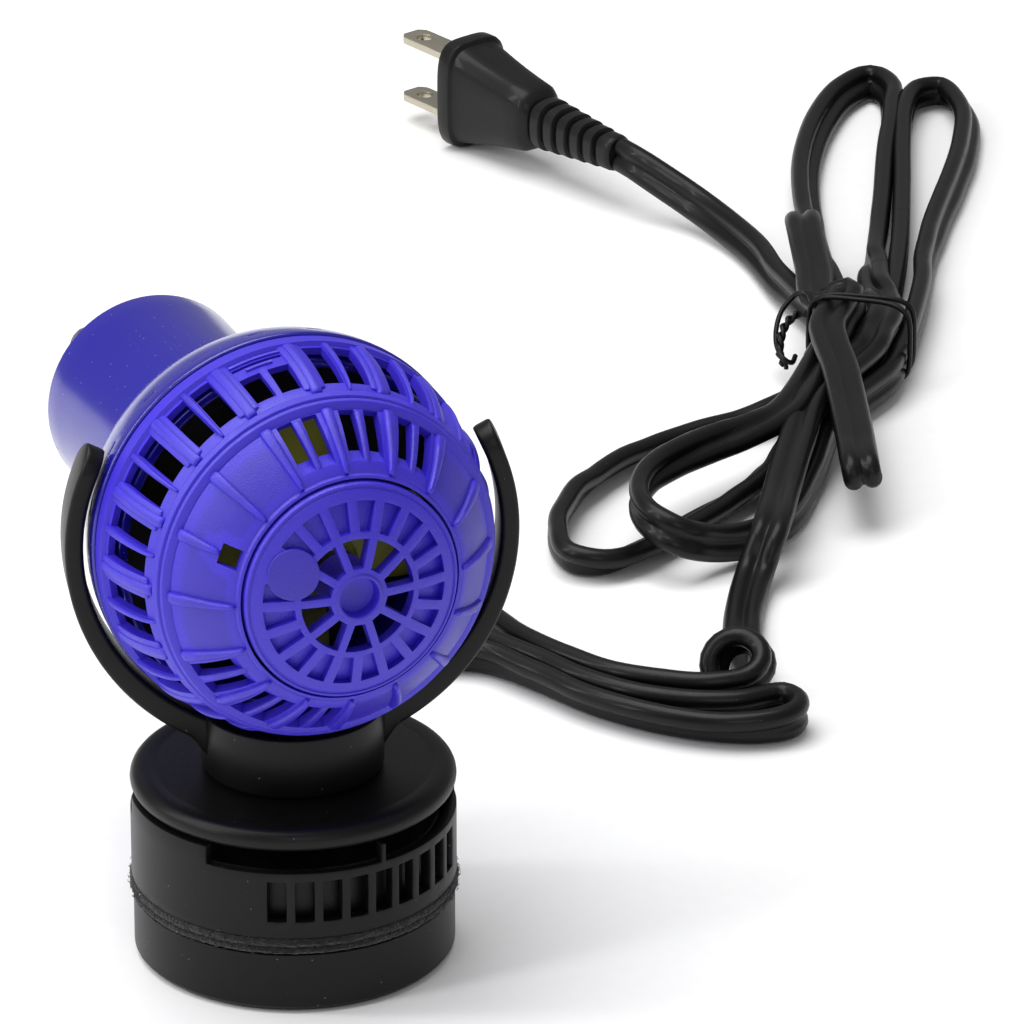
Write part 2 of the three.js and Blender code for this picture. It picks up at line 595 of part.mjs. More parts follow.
// A closed solid through a row of rings that all have the same number of corners.
function skin(rings) {
  const count = rings[0].length;
  const places = rings.flat(2);
  const faces = [];
  rings.slice(1).forEach((_, r) => {
    for (let i = 0; i < count; i += 1) {
      const [a, b] = [r * count + i, r * count + ((i + 1) % count)];
      faces.push(a, b, b + count, a, b + count, a + count);
    }
  });
  const last = (rings.length - 1) * count;
  for (let i = 1; i < count - 1; i += 1) faces.push(0, i + 1, i, last, last + i, last + i + 1);
  const geometry = new THREE.BufferGeometry()
    .setAttribute("position", new THREE.Float32BufferAttribute(places, 3))
    .setIndex(faces);
  return solid(geometry);
}

// ---------------------------------------------------------------- assembly
const pump = new THREE.Group();
dryMagnet(pump);
wetHolder(pump);
swivelScrew(pump);

const yoke = new THREE.Group();
yoke.position.z = BALL_Z;
yoke.rotation.z = YOKE_TURN;
pump.add(yoke);
node(yoke, "yoke", yokeBody(), blackPlastic);

const head = new THREE.Group();
head.position.z = BALL_Z;
head.rotation.x = Math.PI / 2 - HEAD_TIP;
pump.add(head);
motor(head);
rotor(head);
node(head, "front_cage", frontCage(), blueGrille);
node(head, "outlet_grille", outletGrille(), blueGrille);
node(head, "front_shaft_bush", ring(SHAFT_R + GAP, 4.3, 20, 22.1), rubber);

cord(pump);
plug(pump);

export default pump;
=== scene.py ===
"""Looks for a ball-shaped wave maker pump on a magnet mount, laid out as a Blender add-on."""

import json
import math
import random

import bmesh
import bpy
from mathutils import Matrix, Vector, noise


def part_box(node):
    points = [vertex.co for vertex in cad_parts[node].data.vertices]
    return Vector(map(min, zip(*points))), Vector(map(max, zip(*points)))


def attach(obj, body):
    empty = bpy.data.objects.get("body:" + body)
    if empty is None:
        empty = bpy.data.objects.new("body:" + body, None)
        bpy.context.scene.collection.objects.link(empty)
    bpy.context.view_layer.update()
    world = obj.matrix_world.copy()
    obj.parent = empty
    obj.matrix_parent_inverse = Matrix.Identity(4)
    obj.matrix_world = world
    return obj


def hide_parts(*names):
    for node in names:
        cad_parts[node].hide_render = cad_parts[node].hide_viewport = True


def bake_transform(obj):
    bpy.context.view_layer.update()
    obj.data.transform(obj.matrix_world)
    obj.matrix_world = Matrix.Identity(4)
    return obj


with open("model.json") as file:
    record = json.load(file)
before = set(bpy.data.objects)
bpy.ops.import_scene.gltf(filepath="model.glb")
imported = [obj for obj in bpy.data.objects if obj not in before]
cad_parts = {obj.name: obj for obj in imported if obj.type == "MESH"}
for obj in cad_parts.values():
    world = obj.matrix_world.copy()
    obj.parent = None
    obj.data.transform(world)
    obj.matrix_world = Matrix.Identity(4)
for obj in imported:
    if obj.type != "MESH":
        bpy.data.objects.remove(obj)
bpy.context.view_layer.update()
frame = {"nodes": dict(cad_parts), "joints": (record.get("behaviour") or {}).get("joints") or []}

bl_info = {
    "name": "Wave maker pump",
    "version": (1, 0, 0),
    "blender": (4, 5, 0),
    "location": "View3D > Sidebar > Pump",
    "description": "Builds a magnet-mounted wave maker pump with its cord and plug",
    "category": "Object",
}

MM = 0.001
OUTER, INNER = 0, 1

# ------------------------------------------------------------------ places from the frame
JOINTS = {joint["name"]: joint for joint in frame["joints"]}
BALL = Vector(JOINTS["head_tilt"]["pos_m"]) / MM
BLOW = Vector(JOINTS["rotor_spin"]["axis"]).normalized()
SIDE = Vector((1, 0, 0))
HEAD = Matrix.Translation(BALL) @ Matrix((SIDE, BLOW.cross(SIDE), BLOW)).transposed().to_4x4()
YOKE = Matrix.Translation(BALL) @ Matrix.Rotation(math.radians(-14), 4, "Z")


# ------------------------------------------------------------------ mesh helpers, in millimetres
def turned(profile, sides=128, closed=True):
    """A closed profile of (radius, height) corners turned about Z."""
    bm = bmesh.new()
    rings = []
    for radius, height in profile:
        if radius < 1e-6:
            rings.append([bm.verts.new((0, 0, height))] * sides)
            continue
        rings.append([
            bm.verts.new((radius * math.cos(a), radius * math.sin(a), height))
            for a in (2 * math.pi * i / sides for i in range(sides))
        ])
    pairs = list(zip(rings, rings[1:] + rings[:1] if closed else rings[1:]))
    for low, high in pairs:
        for i in range(sides):
            k = (i + 1) % sides
            corners = list(dict.fromkeys([low[i], low[k], high[k], high[i]]))
            if len(corners) > 2:
                bm.faces.new(corners)
    bmesh.ops.recalc_face_normals(bm, faces=bm.faces)
    return bm


def softened(profile, radius, steps=4):
    """The closed profile with each corner rounded, except those on the axis."""
    made = []
    count = len(profile)
    for i, (r, z) in enumerate(profile):
        here = Vector((r, z))
        before = Vector(profile[i - 1]) - here
        after = Vector(profile[(i + 1) % count]) - here
        turn = before.angle(after, math.pi)
        if r < 1e-6 or turn > math.radians(165):
            made.append((r, z))
            continue
        reach = min(radius / math.tan(turn / 2), 0.45 * before.length, 0.45 * after.length)
        start, end = here + before.normalized() * reach, here + after.normalized() * reach
        for k in range(steps + 1):
            t = k / steps
            point = start * (1 - t) ** 2 + here * 2 * t * (1 - t) + end * t * t
            made.append((point.x, point.y))
    return made


def pierced_shell(columns, rows, turn, is_open):
    """A band that wraps round, with an outer and an inner skin and walls round each open cell.

    Each row starts with its outer and its inner (radius, height), and turn(i, j) is the angle
    of column i at row j.
    """
    bm = bmesh.new()
    corners = {}

    def corner(skin, i, j):
        i %= columns
        if (skin, i, j) not in corners:
            (radius, height), angle = rows[j][skin], turn(i, j)
            corners[skin, i, j] = bm.verts.new(
                (radius * math.cos(angle), radius * math.sin(angle), height)
            )
        return corners[skin, i, j]

    def solid(i, j):
        return 0 <= j < len(rows) - 1 and not is_open(i % columns, j)

    for i in range(columns):
        for j in range(len(rows) - 1):
            if not solid(i, j):
                continue
            cell = ((i, j), (i + 1, j), (i + 1, j + 1), (i, j + 1))
            bm.faces.new([corner(OUTER, *at) for at in cell])
            bm.faces.new([corner(INNER, *at) for at in reversed(cell)])
            sides = (
                ((i, j - 1), cell[1], cell[0]),
                ((i, j + 1), cell[3], cell[2]),
                ((i - 1, j), cell[0], cell[3]),
                ((i + 1, j), cell[2], cell[1]),
            )
            for neighbour, one, other in sides:
                if not solid(*neighbour):
                    bm.faces.new([
                        corner(OUTER, *one), corner(OUTER, *other),
                        corner(INNER, *other), corner(INNER, *one),
                    ])
    bmesh.ops.recalc_face_normals(bm, faces=bm.faces)
    return bm


def round_hole_corners(bm, across, width, segments=3):
    """Rounds the upright corners of the holes in a shell; across(edge) picks their edges."""
    edges = [
        edge for edge in bm.edges
        if len(edge.link_faces) == 2 and across(edge)
        and edge.calc_face_angle(0) > math.radians(50)
    ]
    bmesh.ops.bevel(
        bm, geom=edges, offset=width, segments=segments, profile=0.5, affect="EDGES",
        clamp_overlap=True,
    )


def skinned(rings, cap=True):
    """A closed body through rings that all have the same number of corners."""
    bm = bmesh.new()
    made = [[bm.verts.new(point) for point in ring] for ring in rings]
    for low, high in zip(made, made[1:]):
        for i in range(len(low)):
            k = (i + 1) % len(low)
            bm.faces.new([low[i], low[k], high[k], high[i]])
    if cap:
        bm.faces.new(made[0][::-1])
        bm.faces.new(made[-1])
    bmesh.ops.recalc_face_normals(bm, faces=bm.faces)
    return bm


def merged(*parts):
    """Several bodies in one mesh."""
    whole = bmesh.new()
    for bm in parts:
        loose = bpy.data.meshes.new("loose")
        bm.to_mesh(loose)
        bm.free()
        whole.from_mesh(loose)
        bpy.data.meshes.remove(loose)
    return whole


def placed(bm, matrix):
    bmesh.ops.transform(bm, matrix=matrix, verts=bm.verts)
    return bm


def smooth_line(points, step):
    """Points a step apart on a smooth curve through the given ones."""
    vectors = [Vector(p) for p in points]
    ends = [2 * vectors[0] - vectors[1], *vectors, 2 * vectors[-1] - vectors[-2]]
    fine = []
    for a, b, c, d in zip(ends, ends[1:], ends[2:], ends[3:]):
        knots = [0.0]
        for p, q in ((a, b), (b, c), (c, d)):
            knots.append(knots[-1] + max(1e-4, (q - p).length) ** 0.5)
        for k in range(24):
            t = knots[1] + (knots[2] - knots[1]) * k / 24

            def between(p, q, low, high):
                return p * ((high - t) / (high - low)) + q * ((t - low) / (high - low))

            ab = between(a, b, knots[0], knots[1])
            bc = between(b, c, knots[1], knots[2])
            cd = between(c, d, knots[2], knots[3])
            abc = between(ab, bc, knots[0], knots[2])
            bcd = between(bc, cd, knots[1], knots[3])
            fine.append(between(abc, bcd, knots[1], knots[2]))
    fine.append(vectors[-1])
    lengths = [0.0]
    for p, q in zip(fine, fine[1:]):
        lengths.append(lengths[-1] + (q - p).length)
    count = max(2, round(lengths[-1] / step))
    made, at = [], 0
    for i in range(count + 1):
        aim = lengths[-1] * i / count
        while at < len(fine) - 2 and lengths[at + 1] < aim:
            at += 1
        share = (aim - lengths[at]) / max(1e-9, lengths[at + 1] - lengths[at])
        made.append(fine[at].lerp(fine[at + 1], min(1, max(0, share))))
    return made


def edge(width):
    """A Bevel modifier's settings for moulded edges."""
    return ("BEVEL", {
        "limit_method": "ANGLE", "angle_limit": math.radians(32), "width": width, "segments": 2,
    })


def piece(name, bm, body, finish, place=None, replaces=(), modifiers=(), sharp=38):
    """Makes the object of a mesh in millimetres, with its finish, and hangs it on its body."""
    mesh = bpy.data.meshes.new(name)
    bm.to_mesh(mesh)
    bm.free()
    obj = bpy.data.objects.new(name, mesh)
    bpy.context.scene.collection.objects.link(obj)
    for kind, settings in modifiers:
        modifier = obj.modifiers.new(kind.title(), kind)
        for key, value in settings.items():
            setattr(modifier, key, value)
    if modifiers:
        graph = bpy.context.evaluated_depsgraph_get()
        shaped = bpy.data.meshes.new_from_object(obj.evaluated_get(graph))
        obj.modifiers.clear()
        obj.data = shaped
        bpy.data.meshes.remove(mesh)
        mesh = shaped
        mesh.name = name
    mesh.transform(Matrix.Scale(MM, 4) @ (place or Matrix.Identity(4)))
    mesh.materials.clear()
    mesh.materials.append(finish)
    mesh.shade_smooth()
    mesh.set_sharp_from_angle(angle=math.radians(sharp))
    if body:
        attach(obj, body)
    if replaces:
        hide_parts(*replaces)
    return obj


# ------------------------------------------------------------------ shader helpers
class Amount:
    """A number that varies over a surface; sums on it add Math nodes."""

    def __init__(self, shader, socket):
        self.shader = shader
        self.socket = socket

    def _with(self, operation, *values):
        made = self.shader.node("ShaderNodeMath", {"operation": operation}, dict(enumerate(values)))
        return Amount(self.shader, made.outputs[0])

    def __add__(self, other):
        return self._with("ADD", self, other)

    __radd__ = __add__

    def __sub__(self, other):
        return self._with("SUBTRACT", self, other)

    def __rsub__(self, other):
        return self._with("SUBTRACT", other, self)

    def __mul__(self, other):
        return self._with("MULTIPLY", self, other)

    __rmul__ = __mul__

    def step(self, low, high):
        """0 below low, 1 above high and a soft rise between."""
        made = self.shader.node(
            "ShaderNodeMapRange", {"interpolation_type": "SMOOTHSTEP"},
            {"Value": self, "From Min": low, "From Max": high},
        )
        return Amount(self.shader, made.outputs[0])


class Finish:
    """A material in the making: its nodes, its sums and its Principled shader."""

    def __init__(self, name, **constants):
        self.material = bpy.data.materials.new(name)
        self.material.use_nodes = True
        self.tree = self.material.node_tree
        self.tree.nodes.clear()
        self.shader = self.node("ShaderNodeBsdfPrincipled", {}, constants)
        self.node("ShaderNodeOutputMaterial", {}, {"Surface": self.shader.outputs[0]})
        self.place = self.node("ShaderNodeTexCoord", {}, {}).outputs["Object"]

    def node(self, kind, settings, inputs):
        made = self.tree.nodes.new(kind)
        for key, value in settings.items():
            setattr(made, key, value)
        for key, value in inputs.items():
            self.feed(made.inputs[key.replace("_", " ") if isinstance(key, str) else key], value)
        return made

    def feed(self, socket, value):
        if isinstance(value, Amount):
            value = value.socket
        if isinstance(value, bpy.types.NodeSocket):
            self.tree.links.new(value, socket)
        else:
            socket.default_value = value

    def cloud(self, scale, detail=3.0, roughness=0.55, stretch=None):
        """Soft noise from 0 to 1; scale is in features a metre."""
        where = self.place
        if stretch:
            where = self.node(
                "ShaderNodeVectorMath", {"operation": "MULTIPLY"}, {0: where, 1: stretch}
            ).outputs[0]
        made = self.node(
            "ShaderNodeTexNoise", {},
            {"Vector": where, "Scale": scale, "Detail": detail, "Roughness": roughness},
        )
        return Amount(self, made.outputs[0])

    def cells(self, scale):
        """Distance to the nearest of many scattered points."""
        made = self.node("ShaderNodeTexVoronoi", {}, {"Vector": self.place, "Scale": scale})
        return Amount(self, made.outputs["Distance"])

    def blend(self, share, first, second):
        made = self.node(
            "ShaderNodeMix", {"data_type": "RGBA"}, {0: share, 6: first, 7: second}
        )
        return made.outputs[2]

    def edge_highlight_mask(self):
        """Rises towards 1 on convex edges; a mask for painted edge highlights."""
        made = self.node("ShaderNodeNewGeometry", {}, {})
        return Amount(self, made.outputs["Pointiness"])

    def bump(self, height, distance, strength=1.0, normal=None):
        inputs = {"Height": height, "Distance": distance, "Strength": strength}
        if normal is not None:
            inputs["Normal"] = normal
        return self.node("ShaderNodeBump", {}, inputs).outputs[0]

    def done(self, **sockets):
        for key, value in sockets.items():
            self.feed(self.shader.inputs[key.replace("_", " ")], value)
        return self.material


def tone(colour, factor):
    return tuple(min(1.0, channel * factor) for channel in colour[:3]) + (1.0,)


def gloss_blue(colour):
    """Polished deep blue moulding: faint flow ripples, hairline scratches and a little dust."""
    made = Finish("gloss_blue", IOR=1.48, Coat_Weight=0.35, Coat_Roughness=0.06)
    flow = made.cloud(38, 2)
    grain = made.cloud(900, 4)
    scratch = made.cloud(700, 2, stretch=(1, 0.06, 1.6)).step(0.66, 0.72)
    dust = made.cells(620).step(0.10, 0.04)
    base = made.blend(flow, tone(colour, 0.85), tone(colour, 1.14))
    base = made.blend(dust * 0.25, base, (0.55, 0.55, 0.75, 1))
    relief = made.bump(flow + grain * 0.015 + scratch * 0.01, 0.0006, 0.35)
    rough = 0.16 + grain * 0.07 + scratch * 0.10 + dust * 0.2
    return made.done(Base_Color=base, Roughness=rough, Normal=relief)


def satin_blue(colour):
    """Spark-eroded satin blue plastic: a fine even grain that scatters the light, and a painted
    highlight on convex edges.
    """
    made = Finish("satin_blue", IOR=1.48, Specular_IOR_Level=0.62)
    grain = made.cells(3600)
    fine = made.cloud(5200, 3)
    patch = made.cloud(60, 3)
    lift = made.edge_highlight_mask().step(0.51, 0.58)
    base = made.blend(patch, tone(colour, 0.88), tone(colour, 1.12))
    # painted highlight: convex edges blended towards a lighter blue
    base = made.blend(lift * 0.35, base, tone(colour, 1.9))
    relief = made.bump(grain * 0.5 + fine * 0.6, 0.00016, 0.5)
    rough = 0.34 + fine * 0.14 + patch * 0.05
    return made.done(Base_Color=base, Roughness=rough, Normal=relief)


def black_moulding(name, colour, rough=0.36, specks=0.0, shine=0.22):
    """Black moulded plastic: fine grain, a painted highlight on convex edges, faint swirls and
    specks of dust.
    """
    made = Finish(name, IOR=1.5, Specular_IOR_Level=shine)
    grain = made.cloud(3000, 4)
    swirl = made.cloud(45, 4, 0.6)
    scratch = made.cloud(900, 2, stretch=(1.4, 1.4, 0.08)).step(0.68, 0.74)
    dust = made.cells(430).step(0.055, 0.02)
    lift = made.edge_highlight_mask().step(0.52, 0.62)
    base = made.blend(swirl, tone(colour, 0.8), tone(colour, 1.25))
    # painted highlight: convex edges blended towards a much lighter black
    base = made.blend(lift * 0.3, base, tone(colour, 3.2))
    base = made.blend(dust * specks, base, (0.42, 0.40, 0.37, 1))
    relief = made.bump(grain * 0.25 + swirl * 0.5 + scratch * 0.05, 0.00025, 0.35)
    made_rough = rough - 0.06 + grain * 0.08 + swirl * 0.10 + dust * specks * 0.3
    return made.done(Base_Color=base, Roughness=made_rough, Normal=relief)


def felt_pad(colour):
    """Pressed black felt: matted fibres and light lint."""
    made = Finish("felt_pad", Sheen_Weight=0.25, Sheen_Roughness=0.5, Specular_IOR_Level=0.15)
    fibre = made.cloud(2600, 6, 0.7)
    mat = made.cells(1500)
    lint = made.cells(380).step(0.07, 0.03)
    base = made.blend(fibre, tone(colour, 0.5), tone(colour, 1.9))
    base = made.blend(lint * 0.8, base, (0.5, 0.49, 0.46, 1))
    relief = made.bump(fibre + mat * 0.5, 0.0006, 0.9)
    return made.done(Base_Color=base, Roughness=0.88 + fibre * 0.1, Normal=relief)


def cord_vinyl(name, colour, rough=0.38):
    """Soft black vinyl: fine drawing lines, a waxy sheen and scuffs."""
    made = Finish(name, IOR=1.5, Specular_IOR_Level=0.2, Coat_Weight=0.10, Coat_Roughness=0.12)
    grain = made.cloud(2400, 4)
    scuff = made.cloud(150, 5, 0.65).step(0.55, 0.75)
    dust = made.cells(520).step(0.05, 0.02)
    base = made.blend(scuff, tone(colour, 0.85), tone(colour, 1.6))
    base = made.blend(dust * 0.4, base, (0.30, 0.29, 0.27, 1))
    relief = made.bump(grain * 0.3 + scuff * 0.2, 0.0002, 0.35)
    return made.done(Base_Color=base, Roughness=rough + grain * 0.08 + scuff * 0.1, Normal=relief)


def olive_moulding(colour):
    """Olive engineering plastic with a dull moulded skin."""
    made = Finish("olive_moulding", IOR=1.5)
    grain = made.cloud(2600, 4)
    swirl = made.cloud(120, 3)
    base = made.blend(swirl, tone(colour, 0.8), tone(colour, 1.2))
    relief = made.bump(grain, 0.0002, 0.3)
    return made.done(Base_Color=base, Roughness=0.42 + grain * 0.12, Normal=relief)


def bare_metal(name, colour, rough=0.28, brush=(1, 1, 0.05)):
    """Plated or machined metal: brushed lines, smudges and small pits."""
    made = Finish(name, IOR=1.8, Metallic=1.0)
    line = made.cloud(1600, 3, stretch=brush)
    smudge = made.cloud(110, 4)
    pit = made.cells(900).step(0.08, 0.03)
    base = made.blend(smudge, tone(colour, 0.86), tone(colour, 1.08))
    base = made.blend(pit * 0.4, base, tone(colour, 0.35))
    relief = made.bump(line, 0.00012, 0.3)
    return made.done(Base_Color=base, Roughness=rough + line * 0.12 + smudge * 0.08, Normal=relief)


def fired_stone(name, colour, rough):
    """Sintered ferrite or ceramic: a fine granular body."""
    made = Finish(name, IOR=1.6)
    grain = made.cells(2400)
    patch = made.cloud(180, 4)
    base = made.blend(patch, tone(colour, 0.8), tone(colour, 1.15))
    relief = made.bump(grain, 0.00015, 0.3)
    return made.done(Base_Color=base, Roughness=rough + patch * 0.1, Normal=relief)


def pale_floor():
    """Matt white studio sheet with a barely visible tooth."""
    made = Finish("pale_floor", Specular_IOR_Level=0.1)
    tooth = made.cloud(300, 4)
    base = made.blend(tooth, (0.93, 0.93, 0.93, 1), (0.97, 0.97, 0.97, 1))
    return made.done(Base_Color=base, Roughness=0.85 + tooth * 0.1)


FINISHES = {}


def finish(name):
    """The named material, made once from the panel's colours."""
    if name not in FINISHES:
        colours = bpy.context.scene.pump_colours
        makers = {
            "gloss": lambda: gloss_blue(tuple(colours.gloss_blue)),
            "satin": lambda: satin_blue(tuple(colours.satin_blue)),
            "black": lambda: black_moulding("black_moulding", tuple(colours.black), 0.36, 0.5),
            "rubber": lambda: black_moulding("black_rubber", tone(colours.black, 0.9), 0.55, 0.3),
            "felt": lambda: felt_pad(tuple(colours.felt)),
            "olive": lambda: olive_moulding(tuple(colours.olive)),
            "vinyl": lambda: cord_vinyl("cord_vinyl", tuple(colours.vinyl)),
            "plug": lambda: cord_vinyl("plug_vinyl", tone(colours.vinyl, 1.7), 0.42),
            "blade": lambda: bare_metal("blade_metal", tuple(colours.blade), 0.26),
            "steel": lambda: bare_metal("turned_steel", (0.55, 0.55, 0.54, 1), 0.34),
            "copper": lambda: bare_metal("copper_wire", (0.72, 0.30, 0.13, 1), 0.3, (0.1, 1, 1)),
            "ferrite": lambda: fired_stone("ferrite", (0.045, 0.045, 0.05, 1), 0.55),
            "ceramic": lambda: fired_stone("ceramic", (0.80, 0.78, 0.72, 1), 0.25),
        }
        FINISHES[name] = makers[name]()
    return FINISHES[name]


# ------------------------------------------------------------------ magnet mount
def felt_disc(low, high, radius, seed):
    """A felt pad with a ragged, fibrous edge."""
    middle = (low + high) / 2
    profile = [(0, low + 0.1), (radius - 1.0, low)]
    for k in range(7):
        a = -math.pi / 2 + math.pi * k / 6
        rise = (high - low) / 2 * math.sin(a)
        profile.append((radius - 0.55 + 0.55 * math.cos(a), middle + rise))
    profile += [(radius - 1.0, high), (0, high - 0.1)]
    bm = turned(profile, 360, closed=False)
    for vert in bm.verts:
        flat = Vector((vert.co.x, vert.co.y, 0))
        if flat.length < radius - 1.2:
            continue
        rough = noise.noise(vert.co * 2.3 + Vector((seed, 0, 0))) * 0.22
        rough += noise.noise(vert.co * 0.45 + Vector((0, seed, 0))) * 0.16
        vert.co += flat.normalized() * (rough - 0.06)
        vert.co.z += noise.noise(vert.co * 1.9 + Vector((0, 0, seed))) * 0.16
    return bm


def lint(radius, low, high, count, seed):
    """Short fibres that stick out of a felt edge."""
    draw = random.Random(seed)
    parts = []
    for _ in range(count):
        a = draw.uniform(0, 2 * math.pi)
        start = Vector((radius * math.cos(a), radius * math.sin(a), draw.uniform(low, high)))
        lean = Vector((math.cos(a), math.sin(a), 0)) * draw.uniform(0.1, 0.5)
        along = Vector((-math.sin(a), math.cos(a), 0)) * draw.uniform(-1, 1)
        rise = Vector((0, 0, draw.uniform(-0.45, 0.45)))
        line = smooth_line(
            [start, start + lean * 0.7 + rise, start + lean + along + rise * 0.4], 0.4
        )
        section = [Vector((0.05 * math.cos(t), 0, 0.05 * math.sin(t))) for t in (0.5, 2.6, 4.7)]
        parts.append(skinned([[point + corner for corner in section] for point in line]))
    return merged(*parts)


class PUMP_OT_dry_magnet(bpy.types.Operator):
    """Dry-side magnet: its moulded case and felt pad"""

    bl_idname = "pump.dry_magnet"
    bl_label = "Dry-side magnet"

    def execute(self, context):
        low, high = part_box("outer_magnet_case")
        radius, top = high.x / MM, high.z / MM
        case = turned(softened([
            (0, 0), (radius - 0.9, 0), (radius, 1.0), (radius, top - 0.1), (radius - 0.4, top),
            (radius - 2, top), (radius - 2, 2), (0, 2),
        ], 0.5), 160, closed=False)
        piece("magnet_case", case, "dry_magnet", finish("black"),
              replaces=["outer_magnet_case"])
        low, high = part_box("outer_felt_pad")
        pad = merged(
            felt_disc(low.z / MM, high.z / MM + 0.15, high.x / MM, 3.0),
            lint(high.x / MM - 0.1, low.z / MM + 0.2, high.z / MM, 220, 5),
        )
        piece("felt_pad", pad, "dry_magnet", finish("felt"), replaces=["outer_felt_pad"])
        return {"FINISHED"}


class PUMP_OT_wet_holder(bpy.types.Operator):
    """Wet-side holder: pierced ring, bullnosed top disc, inner can and foam pad"""

    bl_idname = "pump.wet_holder"
    bl_label = "Wet-side holder"

    def execute(self, context):
        low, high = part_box("inner_foam_pad")
        pad = merged(
            felt_disc(low.z / MM - 0.15, high.z / MM + 0.1, high.x / MM, 11.0),
            lint(high.x / MM - 0.1, low.z / MM, high.z / MM - 0.2, 160, 8),
        )
        piece("foam_pad", pad, "wet_holder", finish("felt"), replaces=["inner_foam_pad"])
        piece("holder_ring", holder_ring(), "wet_holder", finish("black"),
              replaces=["holder_ring"], modifiers=[edge(0.18)])
        low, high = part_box("holder_top_disc")
        radius, bottom, top = high.x / MM, low.z / MM, high.z / MM
        nose = (top - bottom) / 2
        rim = [
            (radius - nose + nose * math.cos(a), bottom + nose + nose * math.sin(a))
            for a in (math.radians(-90 + 180 * k / 12) for k in range(13))
        ]
        disc = turned([
            (2.3, bottom), *rim, (radius - 3.4, top + 0.02), (radius - 3.9, top - 0.14),
            (radius - 4.4, top - 0.14), (2.3, top - 0.1),
        ], 192)
        piece("holder_top", disc, "wet_holder", finish("black"),
              replaces=["holder_top_disc"])
        low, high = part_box("inner_magnet_can")
        radius, bottom, top = high.x / MM, low.z / MM, high.z / MM
        can = turned(softened([
            (radius - 1.2, bottom), (radius, bottom), (radius, top), (0, top), (0, top - 1.2),
            (radius - 1.2, top - 1.2),
        ], 0.4), 128)
        piece("magnet_can", can, "wet_holder", finish("black"),
              replaces=["inner_magnet_can"])
        return {"FINISHED"}


def holder_ring():
    """The ring wall with two rows of upright windows and a long slot pair above each."""
    low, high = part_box("holder_ring")
    radius, wall = high.x / MM, 2.0
    heights = [low.z / MM, 15.2, 16.7, 20.3, 24.0, 25.6, high.z / MM]
    rows = [((radius, height), (radius - wall, height)) for height in heights]
    windows, slots, lines = [], [], set()
    window_count, window_pitch, window_width = 9, 9.8, 3.2
    slot_start, slot_end, ring_turn = 0.75, 65.25, 12
    half = math.degrees(math.asin(window_width / 2 / radius))
    for side in (ring_turn - 90, ring_turn + 90):
        for i in range(window_count):
            middle = side + (i - window_count // 2) * window_pitch
            windows.append((middle - half, middle + half))
        for start, end in ((slot_start, slot_end), (-slot_end, -slot_start)):
            slots.append((side + start, side + end))
    for start, end in windows + slots:
        lines.update((round(start % 360, 3), round(end % 360, 3)))
    step, clearance = 3, 1.4
    for angle in range(0, 360, step):
        if min(min(abs(angle - line), 360 - abs(angle - line)) for line in lines) > clearance:
            lines.add(float(angle))
    angles = sorted(lines)

    def within(spans, i):
        following = angles[(i + 1) % len(angles)] + (360 if i + 1 == len(angles) else 0)
        middle = (angles[i] + following) / 2
        return any((middle - start) % 360 < end - start for start, end in spans)

    def is_open(i, j):
        if j in (2, 3):
            return within(windows, i)
        return j == 5 and within(slots, i)

    return pierced_shell(len(angles), rows, lambda i, j: math.radians(angles[i]), is_open)


# ------------------------------------------------------------------ yoke
YOKE_IN, YOKE_THICK, YOKE_DEPTH = 34.5, 3.1, 8.0
ARM_RISE, NECK_R, NECK_LOW = 17.5, 15.2, -41.7


def yoke_outline(angle):
    """Distance from the ball's centre to the yoke's outside; angle is from straight down."""
    web = math.radians(44)
    band = YOKE_IN + YOKE_THICK + 1.4 * max(0, math.cos(angle)) ** 2
    if angle >= web:
        return band
    start = Vector((NECK_R - 0.6, NECK_LOW + 3.2))
    middle = Vector((NECK_R + 1.6, -33.4))
    joint = YOKE_IN + YOKE_THICK + 1.4 * math.cos(web) ** 2
    end = Vector((joint * math.sin(web), -joint * math.cos(web)))
    best = band
    for k in range(41):
        t = k / 40
        point = start * (1 - t) ** 2 + middle * 2 * t * (1 - t) + end * t * t
        if abs(math.atan2(point.x, -point.y) - angle) < 0.012:
            best = max(best, point.length)
    if angle < math.atan2(NECK_R - 0.6, -NECK_LOW - 3.2):
        best = max(YOKE_IN + YOKE_THICK, (-NECK_LOW - 0.4) / math.cos(angle))
    return best


def yoke_band():
    """The curved band and its webs, with rounded arms, swept round the ball."""
    middle_reach = YOKE_IN + YOKE_THICK / 2
    tip = math.pi / 2 + math.asin((ARM_RISE - YOKE_DEPTH / 2) / middle_reach)
    cap = YOKE_DEPTH / 2 / middle_reach
    stations = []
    for k in range(8):
        turn = math.pi / 2 * (1 - k / 8)
        stations.append((-tip - cap * math.sin(turn), math.cos(turn)))
    steps = 150
    stations += [(-tip + 2 * tip * k / steps, 1.0) for k in range(steps + 1)]
    stations += [(-angle, share) for angle, share in reversed(stations[:8])]
    corner = 0.75
    rings = []
    for angle, share in stations:
        out = Vector((math.sin(angle), 0, -math.cos(angle)))
        half = max(0.12, YOKE_DEPTH / 2 * share)
        inner, outer = YOKE_IN, yoke_outline(abs(angle))
        round_off = min(corner, half * 0.6)
        ring = []
        for cx, cy, start in (
            (half, outer, 0), (-half, outer, 90), (-half, inner, 180), (half, inner, 270)
        ):
            for step in range(4):
                a = math.radians(start + 30 * step)
                across = cx - math.copysign(round_off, cx) + round_off * math.cos(a)
                reach = cy + (-round_off if cy == outer else round_off) + round_off * math.sin(a)
                ring.append(out * reach + Vector((0, across, 0)))
        rings.append(ring)
    return skinned(rings)


